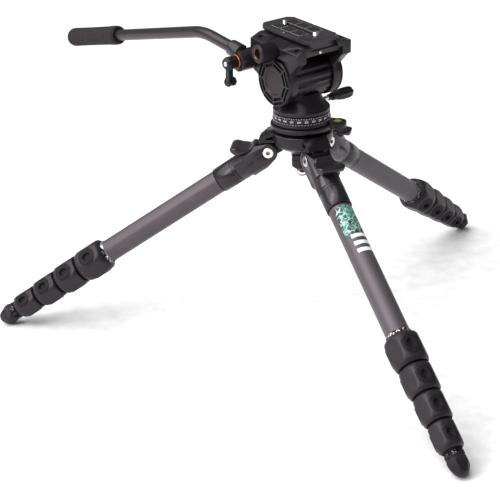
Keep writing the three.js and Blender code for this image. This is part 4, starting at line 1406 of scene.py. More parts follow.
    def twist_lock(self, number: int) -> None:
        """Rubber-sleeved lock with six flats, three of them with a round dimpled pad.

        Args:
            number: 1 for the thickest.
        """
        node = f"twist_lock_{number}_{self.side}"
        bottom, top = self.lock_span(number)
        sizes = self.locks[number - 1]
        length = top - bottom
        tube_low, tube_high = self.bench.span(f"tube_{number}_{self.side}", self.place)
        bore = (tube_high.x - tube_low.x) / 2 + 0.45
        belly, neck = sizes.belly - 0.15, max(bore + 1.0, sizes.end - 3.2)
        shoulder = [
            (sizes.top, top - 0.6),
            (sizes.top + 0.62 * (belly - sizes.top), top - 0.1 * length),
            (belly - 0.35, top - 0.27 * length),
            (belly, top - 0.46 * length),
            (belly - 0.3, top - 0.66 * length),
            (sizes.end + 0.55 * (belly - sizes.end), top - 0.83 * length),
            (sizes.end, bottom + 3.4),
        ]
        skin = smooth_rows(shoulder, 46)
        profile = [(bore, top), (sizes.top - 1.0, top)] + skin
        profile += [(sizes.end - 0.5, bottom + 2.9), (neck, bottom + 2.7)]
        profile += [(neck, bottom + 0.05), (bore, bottom)]
        middle = top - 0.47 * length
        flat = belly * (1 - self.facet_depth)
        pad_radius = 0.3 * belly + 4.9
        step = TURN / self.facets

        def facet(angle: float) -> tuple[int, float]:
            """Which flat an angle is on, and its angle from that flat's middle.

            Args:
                angle: turn about the axis.

            Returns:
                The number and the angle.
            """
            index = round(angle / step)
            return index, angle - index * step

        def shape(reach: float, z: float, angle: float) -> float:
            """Cuts the flats and raises the pads.

            Args:
                reach: radius so far.
                z: height along the axis.
                angle: turn about it.

            Returns:
                The radius there.
            """
            if reach < neck + 0.4 or z < bottom + 3.0:
                return reach
            index, off = facet(angle)
            plane = flat / max(math.cos(off), 0.5)
            lowered = min(reach, plane)
            lowered -= 0.25 * math.exp(-(((reach - plane) / 0.5) ** 2))
            if index % 2:
                return lowered
            away = math.hypot(plane * math.sin(off), (z - middle) * 0.92)
            raised = swell(away, pad_radius, pad_radius - 1.0)
            hollow = math.hypot(plane * math.sin(off) * 1.2, (z - middle) * 0.85)
            dimple = swell(hollow, pad_radius * 0.5, pad_radius * 0.34)
            target = min(plane + 1.1, sizes.belly)
            lifted = lowered + (target - lowered) * raised
            return lifted - 3.6 * dimple

        def paint(z: float, angle: float) -> int:
            """Pads have their own finish, and the neck is painted near-black as painted shade under the
            sleeve.

            Args:
                z: height along the axis.
                angle: turn about it.

            Returns:
                The finish number.
            """
            # painted shade: the neck under the sleeve takes the near-black finish
            if z < bottom + 2.95:
                return 2
            index, off = facet(angle)
            if index % 2:
                return 0
            away = math.hypot(flat * math.sin(off), (z - middle) * 0.92)
            return 1 if away < pad_radius - 0.3 else 0

        form = Form().turned(profile, 180, shape, paint).spun(self.lock_turn)
        name, finishes = f"lock_{number}_{self.side}", [LOCK_RUBBER, PAD_RUBBER, DARK_JOINT_AND_SHADE]
        self.bench.piece(name, form, self.place, finishes, node, [node], "lock_rubber", crease=30)

    def foot(self) -> None:
        """Rubber foot: a ridged ring, a narrow neck and a six-sided tip."""
        node = f"foot_{self.side}"
        low, high = self.bench.span(node, self.place)
        tip, top = low.z, high.z
        tube_low, tube_high = self.bench.span(f"tube_5_{self.side}", self.place)
        bore = (tube_high.x - tube_low.x) / 2 + 0.3
        centre = tip + self.foot_radius
        profile = [
            (bore, top),
            (12.6, top),
            (13.0, top - 1.0),
            (13.2, top - 5.2),
            (11.9, top - 6.0),
            (11.9, top - 6.8),
            (13.6, top - 8.0),
            (15.2, centre + 5.0),
            (15.45, centre + 1.5),
            (14.7, centre - 2.5),
            (13.0, centre - 6.4),
            (11.0, centre - 9.4),
            (8.4, centre - 12.3),
            (4.8, centre - 14.5),
            (0, tip),
        ]
        socket = [(0, top - 9.0), (bore, top - 9.0)]
        form = Form().turned(
            socket + profile[:7] + smooth_rows(profile[7:], 34),
            120,
            self._flats(centre, top),
            lambda z, angle: 1 if top - 5.6 < z < top - 0.2 else 0,
        )
        name, finishes = f"foot_boot_{self.side}", [FOOT_RUBBER, FOOT_KNURL]
        body = self.body_of(5)
        self.bench.piece(name, form, self.place, finishes, body, [node], "foot_rubber", crease=32)

    def _flats(self, centre: float, top: float) -> RadiusRule:
        """Radius rule of the foot's tip.

        Args:
            centre: height of the tip's middle.
            top: upper end of the foot.

        Returns:
            The rule.
        """

        def rule(reach: float, z: float, angle: float) -> float:
            """Ridges on the upper ring, flats around the tip.

            Args:
                reach: radius so far.
                z: height along the axis.
                angle: turn about it.

            Returns:
                The radius there.
            """
            if reach < 5 or z > top - 6 or z > centre + 9:
                ridged = reach > 12.4 and z > top - 5.5
                return reach - 0.25 * (1 + math.cos(self.foot_teeth * angle)) * ridged
            window = swell(z, centre + 9, centre + 6) * swell(z, centre - 15, centre - 8)
            step = TURN / self.foot_flats
            off = angle - round(angle / step) * step
            flat = self.foot_flat / max(math.cos(off), self.foot_flat)
            return reach * (1 - window * (1 - flat))

        return rule


# ---------------------------------------------------------------------------------------------
# Crown, levelling platform and pan base
# ---------------------------------------------------------------------------------------------


@dataclass
class Hub:
    """Crown, levelling platform, its knob and bail, pan base and degree scale.

    Attributes:
        bench: where pieces are made.
        scale_step: degrees between the figures on the dial.
        figure_height: height of those figures, mm.
        knob_flutes: flutes around the levelling knob.
        flute_depth: their depth, mm.
        pocket_width: width of the stop pocket in each tongue.
        pocket_face: its outline, outward and up from the hinge.
        pocket_steps: where its ledges are, outward and up from the hinge.
    """

    bench: Bench
    scale_step: int = 15
    figure_height: float = 2.5
    knob_flutes: int = 12
    flute_depth: float = 0.9
    pocket_width: float = 16.0
    pocket_face: Outline = (
        (2, 15.2),
        (6.2, 14.5),
        (13.3, 17.0),
        (13.3, 17.5),
        (3.7, 25.9),
        (2, 24.5),
    )
    pocket_steps: Outline = ((12.1, 18.6), (9.35, 21.0), (6.6, 23.4))

    def __post_init__(self) -> None:
        """Finds the pan axis."""
        pan = self.bench.joints["pan"]["pos_m"]
        self.place = Place.at((pan[0], pan[1], 0), (1, 0, 0), (0, 0, 1))

    def build(self) -> None:
        """Makes every piece of the hub."""
        self.crown()
        self.platform()
        self.vial()
        self.level_knob()
        self.bail()
        self.pan_base()
        self.scale_ring()

    def crown(self) -> None:
        """Crown casting with its three tongues and shoulders."""
        form = self.bench.copied("crown", self.place)
        self._cast("crown_casting", form, "crown", "crown", 0.7)
        for side in ("left", "front", "right"):
            self.stop_pocket(side)

    def stop_pocket(self, side: str) -> None:
        """Stepped pocket in the outer face of a tongue, where the angle tab's nose engages; a near-black
        solid in it is painted shade, with metal ledges.

        Args:
            side: the leg that the tongue holds.
        """
        hinge = Vector(self.bench.joints[f"leg_spread_{side}"]["pos_m"])
        pan = Vector(self.bench.joints["pan"]["pos_m"])
        outward = Vector((hinge.x - pan.x, hinge.y - pan.y, 0)).normalized()
        spot = Place.at(tuple(hinge), tuple(outward.cross(Vector((0, 0, 1)))), (0, 0, 1))
        half = self.pocket_width / 2
        pocket, steps = Form(), Form()
        pocket.prism(self.pocket_face, -half, half, Axis.X)
        for reach, height in self.pocket_steps:
            low, high = height - 0.35, height + 0.35
            outline = [(reach - 2, low), (reach, low), (reach, high), (reach - 2, high)]
            steps.add(Form().prism(outline, -half + 0.8, half - 0.8, Axis.X))
        # painted shade: a near-black solid fills the pocket's hollow
        self.bench.piece(f"stop_pocket_{side}", pocket, spot, [DARK_JOINT_AND_SHADE], "crown")
        self.bench.piece(f"stop_steps_{side}", steps, spot, [COLLAR_METAL], "crown", bevel=0.1)

    def platform(self) -> None:
        """Levelling platform with its side lobe."""
        form = self.bench.copied("level_platform", self.place)
        self._cast("levelling_platform", form, "level", "level_platform", 0.6)

    def _cast(self, name: str, form: Form, body: str, node: str, bevel: float) -> None:
        """Sets a black casting.

        Args:
            name: piece name.
            form: its shape.
            body: the body that it rides on.
            node: the solid that it stands for.
            bevel: rounding of its edges, mm.
        """
        finishes = [BLACK_METAL]
        self.bench.piece(name, form, self.place, finishes, body, [node], bevel=bevel, crease=30)

    def vial(self) -> None:
        """Round bubble level: dome, ring mark and bubble."""
        low, high = self.bench.span("bubble_vial", self.place)
        middle = (low + high) / 2
        radius = (high.x - low.x) / 2
        spot = self.place.shifted(middle.x, middle.y, 0)
        top = high.z
        dome = [(0, low.z), (radius, low.z), (radius, top - 0.85), (radius - 0.6, top - 0.55)]
        dome += [(radius * 0.6, top - 0.16), (radius * 0.3, top - 0.05), (0, top)]
        within, edge = radius - 0.9, radius - 0.05
        rim = [(within, top - 0.6), (edge, top - 0.6), (edge, top - 0.1), (within, top - 0.1)]
        mark = [(2.5, top - 0.3), (2.8, top - 0.3), (2.8, top - 0.02), (2.5, top - 0.02)]
        form = Form().turned(dome, 48)
        self.bench.piece("vial_dome", form, spot, [FLUID], "level", ["bubble_vial"], "vial")
        ring = Form().turned(eased(rim + rim[:1], 0.15)[:-1], 48).add(Form().turned(mark, 40))
        self.bench.piece("vial_marks", ring, spot, [PLASTIC], "level", slot="knob_plastic")
        outside = [(0, top - 0.25), (1.7, top - 0.2), (1.9, top - 0.05), (1.5, top), (0, top + 0.02)]
        bubble = Form().turned(outside, 32).at(0.6, 0.3, -0.02)
        self.bench.piece("vial_bubble", bubble, spot, [BUBBLE], "level", slot="vial")

    def level_knob(self) -> None:
        """Fluted knob under the crown."""
        low, high = self.bench.span("level_knob", self.place)
        radius = (high.x - low.x) / 2
        top, low_edge, under, end = high.z, high.z - 19, high.z - 23, low.z
        profile = [
            (0, top - 11),
            (4.3, top - 11),
            (4.3, top),
            (radius - 1.2, top),
            (radius, top - 1.2),
            (radius, top - 7.0),
            (radius - 0.7, top - 7.4),
            (radius - 0.7, top - 8.1),
            (radius, top - 8.5),
            (radius, low_edge),
            (radius - 5, under),
            (5.2, under),
            (5.2, end + 0.6),
            (4.6, end),
            (0, end),
        ]

        def flutes(reach: float, z: float, angle: float) -> float:
            """Presses the flutes into the lower skirt.

            Args:
                reach: radius so far.
                z: height along the axis.
                angle: turn about it.

            Returns:
                The radius there.
            """
            if reach < radius - 1.5 or z > top - 8.4:
                return reach
            return reach - self.flute_depth * max(0.0, math.cos(self.knob_flutes * angle)) ** 2

        form = Form().turned(eased(profile, 0.5), 144, flutes)
        pin = self.bench.joints["hook_bail_swing"]["pos_m"][2] / MILLIMETRE
        hole = Form().turned([(0, -7), (1.65, -7), (1.65, 7), (0, 7)], 20)
        form.cut(hole.along((1, 0, 0)).at(0, 0, pin))
        node = "level_knob"
        self.bench.piece("levelling_knob", form, self.place, [PLASTIC], node, [node], "knob_plastic")

    def bail(self) -> None:
        """Wire bail under the knob."""
        low, high = self.bench.span("hook_bail", self.place)
        pin = self.bench.joints["hook_bail_swing"]["pos_m"][2] / MILLIMETRE
        wire = 1.2
        reach = (high.x - low.x) / 2 - wire
        elbow = reach - 1.2
        points = [Vector((-2.4, 0, pin)), Vector((-elbow, 0, pin))]
        for k in range(25):
            angle = math.radians(190 + 160 * k / 24)
            points.append(Vector((reach * math.cos(angle), 0, pin + reach * math.sin(angle))))
        points += [Vector((elbow, 0, pin)), Vector((2.4, 0, pin))]
        form = Form().swept(points, wire * 0.98, 16)
        node = "hook_bail"
        self.bench.piece("weight_bail", form, self.place, [STEEL], node, [node], "steel", crease=60)

    def pan_base(self) -> None:
        """Base plate of the head, with index dots around its rim."""
        low, high = self.bench.span("pan_base", self.place)
        radius = (high.x - low.x) / 2
        top = self.bench.span("scale_ring", self.place)[0].z - 0.3
        profile = [
            (0, low.z),
            (radius - 1.4, low.z),
            (radius, low.z + 1.4),
            (radius, top - 4.6),
            (radius - 0.6, top - 4.2),
            (radius - 0.6, top - 3.6),
            (radius, top - 3.2),
            (radius, top),
            (20, top),
            (20, high.z),
            (0, high.z),
        ]
        form = Form().turned(eased(profile, 0.3), 128)
        self.bench.piece("head_base", form, self.place, [DIAL], "level", ["pan_base"], "anodised")
        dots = Form()
        inside, outside = radius - 0.1, radius + 0.04
        for angle in around(60):
            dot = Form().turned([(0, inside), (0.42, inside), (0.42, outside), (0, outside)], 8)
            dot.along((1, 0, 0)).at(0, 0, top - 1.6).spun(angle)
            dots.add(dot)
        self.bench.piece("head_base_dots", dots, self.place, [INK], "level", slot="dial")

    def scale_ring(self) -> None:
        """Degree ring with ticks and plain figures."""
        low, high = self.bench.span("scale_ring", self.place)
        radius = (high.x - low.x) / 2
        inner = 20.45
        bottom, top = low.z, high.z
        profile = [(inner, bottom), (radius, bottom), (radius, top), (inner, top), (inner, bottom)]
        form = Form().turned(eased(profile, 0.3)[:-1], 128)
        self.bench.piece("degree_ring", form, self.place, [DIAL], "level", ["scale_ring"], "dial")
        marks = Form()
        for step, angle in enumerate(around(72)):
            tall = 1.9 if step * 5 % self.scale_step == 0 else 1.1
            tick = block((radius - 0.2, radius + 0.04), (-0.2, 0.2), (top - 0.5 - tall, top - 0.5))
            marks.add(tick.spun(angle))
        for angle in range(0, 360, self.scale_step):
            figure = Form().lettered(str(angle), self.figure_height, 0.12, radius)
            marks.add(figure.at(0, 0, bottom + 0.9).spun(angle))
        self.bench.piece("degree_marks", marks, self.place, [INK], "level", slot="dial")


# ---------------------------------------------------------------------------------------------
# Head
# ---------------------------------------------------------------------------------------------


@dataclass
class Head:
    """Fluid drum, tilt yoke, clamp, plate and its screws, knobs.

    Local X points to the operator's right, Y forward and Z up from the tilt axis.

    Attributes:
        bench: where pieces are made.
        sectors: sides of the web on a side cover.
        slot_rings: inner and outer distance of each ring of slots from the middle, mm.
        slot_depth: depth of the slots, mm.
        rib: width of the ribs between slots, mm.
        badge_radius: disc in the middle of a cover, mm.
        bar_top: top of the jaw bars above the tilt axis, mm.
        bar_screw: distance of the bar screws from the pan axis, sideways, mm.
        screw_rows: distance of the bar screws from the middle, mm.
        splits: distance of the splits across a bar from the middle, mm.
        knob_grooves: fine flutes around the plate lock knob.
        pad_edges: where the plate's pads begin and end along it, mm.
    """

    bench: Bench
    sectors: int = 8
    slot_rings: tuple[tuple[float, float], ...] = ((21.2, 25.2), (27.2, 30.9))
    slot_depth: float = 2.2
    rib: float = 2.2
    badge_radius: float = 16.8
    bar_top: float = 55.4
    bar_screw: float = 37.5
    screw_rows: tuple[float, ...] = (-38.5, 38.5)
    splits: tuple[float, ...] = (-17.15, 17.15)
    knob_grooves: int = 40
    pad_edges: tuple[float, ...] = (-39.5, -20.5, 0.5, 21.5)

    def __post_init__(self) -> None:
        """Finds the tilt axis and the pan frame."""
        joints = self.bench.joints
        tilt = joints["tilt"]
        right = Vector(tilt["axis"])
        ahead = Vector(joints["plate_slide"]["axis"])
        self.place = Place.at(tilt["pos_m"], right, right.cross(ahead))
        self.upright = Place.at(tilt["pos_m"], right, (0, 0, 1))

    def build(self) -> None:
        """Makes every piece of the head."""
        self.drum()
        self.pan_lock()
        self.yoke()
        for side in (-1, 1):
            self.cover(side)
        self.jaw()
        self.bar_screws()
        self.plate_lock()
        self.plate()
        self.plate_pads()
        self.camera_screws()
        self.small_fittings()

    def drum(self) -> None:
        """Finned fluid drum on its turning base."""
        place, node = self.upright, "fluid_drum"
        form = self.bench.copied(node, place)
        self.bench.piece("drum", form, place, [BLACK_METAL], "pan", [node], bevel=0.7, crease=26)

    def pan_lock(self) -> None:
        """Bright shaft with a black lobed knob."""
        node = "pan_lock_knob"
        low, high = self.bench.span(node, self.upright)
        middle = (low + high) / 2
        inner, outer = -high.x, -low.x
        start = outer - 38
        profile = [
            (0, inner),
            (3, inner + 0.3),
            (3, start - 6),
            (4.4, start - 5.6),
            (4.4, start),
            (5.6, start + 0.3),
            (6.0, start + 8),
            (7.2, start + 11),
            (8.4, start + 18),
            (8.3, start + 29),
            (7.2, outer - 4),
            (4.8, outer - 0.8),
            (0, outer),
        ]

        def lobes(reach: float, z: float, angle: float) -> float:
            """Five finger lobes on the wide end.

            Args:
                reach: radius so far.
                z: height along the axis.
                angle: turn about it.

            Returns:
                The radius there.
            """
            if z < start + 9 or reach < 4:
                return reach
            share = swell(z, start + 9, start + 15)
            return reach - share * 1.5 * (0.5 - 0.5 * math.cos(5 * angle)) ** 1.5

        def paint(z: float, angle: float) -> int:
            """The shaft is bright.

            Args:
                z: height along the axis.
                angle: turn about it.

            Returns:
                The finish number.
            """
            return 1 if z < start - 6.2 else 0

        form = Form().turned(eased(profile, 0.8), 80, lobes, paint).along((-1, 0, 0))
        spot = self.upright.shifted(0, middle.y, middle.z)
        finishes = [PLASTIC, STEEL]
        self.bench.piece("pan_lock", form, spot, finishes, node, [node], "knob_plastic", crease=40)

    def yoke(self) -> None:
        """Tilt yoke: cheeks, bridge, jaw bars and the handle's boss."""
        place, node = self.place, "tilt_yoke"
        form = self.bench.copied(node, place)
        left, over = self.bench.span(node, place)[0].x - 1, self.bar_top + 1
        tools = []
        for y in self.splits:
            tools.append(block((left, -22), (y - 0.35, y + 0.35), (44, over)))
        for y in self.screw_rows:
            hole = Form().turned([(0, 44), (3.4, 44), (3.4, over), (0, over)], 28)
            tools.append(hole.at(-self.bar_screw, y, 0))
        form.cut(*tools)
        self.bench.piece("yoke", form, place, [BLACK_METAL], "tilt", [node], bevel=0.8, crease=28)

    def bar_screws(self) -> None:
        """Socket screws sunk into the jaw bars."""
        form = Form()
        side = eased([(0, 44.2), (3.0, 44.2), (3.0, 47.4), (0, 47.4)], 0.4)
        for x in (-self.bar_screw, self.bar_screw):
            for y in self.screw_rows:
                screw = Form().turned(side, 28)
                screw.cut(Form().prism(hexagon(1.4), 45.4, 49))
                form.add(screw.at(x, y, 0))
        self.bench.piece("bar_screws", form, self.place, [STEEL], "tilt", slot="steel")

    def cover(self, side: int) -> None:
        """Side cover with a web of slots around a plain disc; the slots' walls and floors are painted
        near-black as painted shade.

        Args:
            side: 1 for the operator's right, -1 for the left.
        """
        name = "right" if side > 0 else "left"
        node = f"side_cover_{name}"
        low, high = self.bench.span(node, self.place)
        inner, outer = (low.x, high.x) if side > 0 else (-high.x, -low.x)
        radius = (high.y - low.y) / 2
        badge, sunk = self.badge_radius, outer - 1.3
        profile = [(0, inner), (radius, inner), (radius, outer - 1.2), (radius - 1.3, outer)]
        profile += [(badge + 1.2, outer), (badge + 0.2, sunk), (0, sunk)]
        form = Form().turned(eased(profile, 0.35), 120)
        tools = []
        half = math.pi / self.sectors
        for near, far in self.slot_rings:
            reach_near = near * math.tan(half) - self.rib / 2
            reach_far = far * math.tan(half) - self.rib / 2
            outline = [(near, -reach_near), (far, -reach_far), (far, reach_far), (near, reach_near)]
            for angle in around(self.sectors, 360 / self.sectors / 2):
                slot = Form().prism(outline, outer - self.slot_depth, outer + 1)
                tools.append(slot.spun(angle))
        form.cut(*tools)
        for face in form.mesh.faces:
            centre = face.calc_center_median()
            reach = math.hypot(centre.x, centre.y)
            # painted shade: faces down inside the slots take the near-black finish
            deep = inner + 0.2 < centre.z < outer - 0.02 and badge + 1.5 < reach < 31
            middle = reach < badge and centre.z > outer - 2
            face.material_index = 2 if deep else 1 if middle else 0
        form.along((side, 0, 0))
        name, finishes = f"cover_{name}", [COVER_PLASTIC, BADGE, DARK_JOINT_AND_SHADE]
        self.bench.piece(name, form, self.place, finishes, "tilt", [node], "knob_plastic", crease=30)

    def jaw(self) -> None:
        """Sliding jaw of the clamp."""
        place, node = self.place, "clamp_jaw"
        form = self.bench.copied(node, place)
        self.bench.piece("jaw", form, place, [BLACK_METAL], node, [node], bevel=0.6, crease=28)

    def plate_lock(self) -> None:
        """Round knob with a bronze-lined end."""
        node = "plate_lock_knob"
        low, high = self.bench.span(node, self.place)
        middle = (low + high) / 2
        radius = (high.y - low.y) / 2
        start, end = high.x - 27.5, high.x
        profile = [
            (0, low.x),
            (3, low.x),
            (3, start),
            (radius - 1, start),
            (radius, start + 1),
            (radius, end - 1.6),
            (radius - 1.6, end),
            (7.6, end),
            (7.2, end - 0.8),
            (6.4, end - 1.2),
            (6.2, end - 9),
            (0, end - 9),
        ]

        def grooves(reach: float, z: float, angle: float) -> float:
            """Fine flutes along the grip, clear of both ends.

            Args:
                reach: radius so far.
                z: height along the axis.
                angle: turn about it.

            Returns:
                The radius there.
            """
            if reach < radius - 0.3 or z < start + 2 or z > end - 2.5:
                return reach
            return reach - 0.28 * max(0.0, math.cos(self.knob_grooves * angle))

        rows = self._long(eased(profile, 0.3), start + 2, end - 2.6)
        form = Form().turned(rows, 160, grooves)
        for face in form.mesh.faces:
            centre = face.calc_center_median()
            reach = math.hypot(centre.x, centre.y)
            face.material_index = 1 if reach < 7.3 and centre.z > end - 10 else 0
        form.along((1, 0, 0))
        spot = self.place.shifted(0, middle.y, middle.z)
        finishes = [PLASTIC, BRONZE]
        self.bench.piece("plate_lock", form, spot, finishes, node, [node], "knob_plastic", crease=32)

    @staticmethod
    def _long(profile: Outline, low: float, high: float) -> Outline:
        """Adds rows just inside a stretch, so that flutes start crisply.

        Args:
            profile: (radius, z) points that rise along the outside.
            low: start of the stretch.
            high: end of the stretch.

        Returns:
            The longer profile.
        """
        rows = []
        for before, here in zip(profile, profile[1:]):
            rows.append(before)
            if here[1] - before[1] > 15 and abs(before[0] - here[0]) < 0.01 and before[0] > 9:
                for z in (low, low + 0.5, high - 0.5, high):
                    rows.append((before[0], z))
        rows.append(profile[-1])
        return rows

    def plate(self) -> None:
        """Sliding camera plate."""
        place, node = self.place, "camera_plate"
        form = self.bench.copied(node, place)
        self.bench.piece("plate", form, place, [PLATE_METAL], "plate", [node], bevel=0.7, crease=30)

    def plate_pads(self) -> None:
        """Rubber pads in pale frames on the plate, and a centre tick at each side."""
        low, high = self.bench.span("camera_plate", self.place)
        top = high.z
        pads, seams = Form(), Form()
        half_width = high.x
        for span in ((-half_width + 7.5, -5.2), (5.2, half_width - 7.5)):
            for near, far in zip(self.pad_edges, self.pad_edges[1:]):
                pads.add(block(span, (near + 0.9, far - 0.9), (top - 0.1, top + 0.45), 1.4))
                wide = (span[0] - 0.55, span[1] + 0.55)
                seams.add(block(wide, (near + 0.35, far - 0.35), (top - 0.1, top + 0.2), 1.6))
        finishes = [PLATE_RUBBER]
        self.bench.piece("plate_pads", pads, self.place, finishes, "plate", slot="lock_rubber", bevel=0.12)
        self.bench.piece("plate_seams", seams, self.place, [SEAM], "plate", slot="dial")
        tick = Form()
        for x in (half_width, low.x):
            inward = x - math.copysign(2.2, x)
            span = (min(x, inward), max(x, inward))
            tick.add(block(span, (-4.35, -3.65), (top - 1.2, top + 0.06)))
        self.bench.piece("plate_ticks", tick, self.place, [INK], "plate", slot="dial")

    def camera_screws(self) -> None:
        """Two threaded studs with a plain head below and a slot cut across the top."""
        for which, pitch in (("rear", 1.27), ("front", 1.59)):
            node = f"camera_screw_{which}"
            low, high = self.bench.span(node, self.place)
            middle = (low + high) / 2
            head = (high.y - low.y) / 2
            radius = head - 3
            bottom, tip = low.z, high.z
            depth = pitch * 0.42
            rows = [(0, bottom), (head - 0.4, bottom), (head, bottom + 0.4)]
            rows += [(head, bottom + 2.2), (radius - depth, bottom + 2.2)]
            first, last = bottom + 2.6, tip - 0.9
            count = max(12, round((last - first) / pitch * 8))
            rows += [(radius, first + (last - first) * k / count) for k in range(count + 1)]
            rows += [(radius - 0.9, tip), (0, tip)]

            def thread(reach: float, z: float, angle: float) -> float:
                """Helical thread on the stud.

                Args:
                    reach: radius so far.
                    z: height along the axis.
                    angle: turn about it.

                Returns:
                    The radius there.
                """
                if abs(reach - radius) > 0.01:
                    return reach
                phase = (z / pitch - angle / TURN) % 1.0
                return reach - depth * abs(2 * phase - 1)

            form = Form().turned(rows, 40, thread)
            form.cut(block((-0.6, 0.6), (-radius - 1, radius + 1), (tip - 1.6, tip + 1)))
            spot = self.place.shifted(middle.x, middle.y, 0)
            self.bench.piece(f"stud_{which}", form, spot, [STEEL], node, [node], "steel", crease=28)

    def small_fittings(self) -> None:
        """Release button beside the plate, and the plate's front stop."""
        side = eased([(0, -2), (3.2, -2), (3.2, 0.9), (2.6, 1.5), (0, 1.7)], 0.3)
        button = Form().turned(side, 32)
        spot = self.place.shifted(-39.5, 43.5, 52.0)
        self.bench.piece("release_button", button, spot, [STEEL], "tilt", slot="steel")
        side = eased([(0, -4), (2.1, -4), (2.1, 1.6), (1.5, 2.2), (0, 2.4)], 0.3)
        stop = Form().turned(side, 28).along((0, 1, 0))
        spot = self.place.shifted(6, 46.5, 45.8)
        self.bench.piece("front_stop", stop, spot, [STEEL], "tilt", slot="steel")


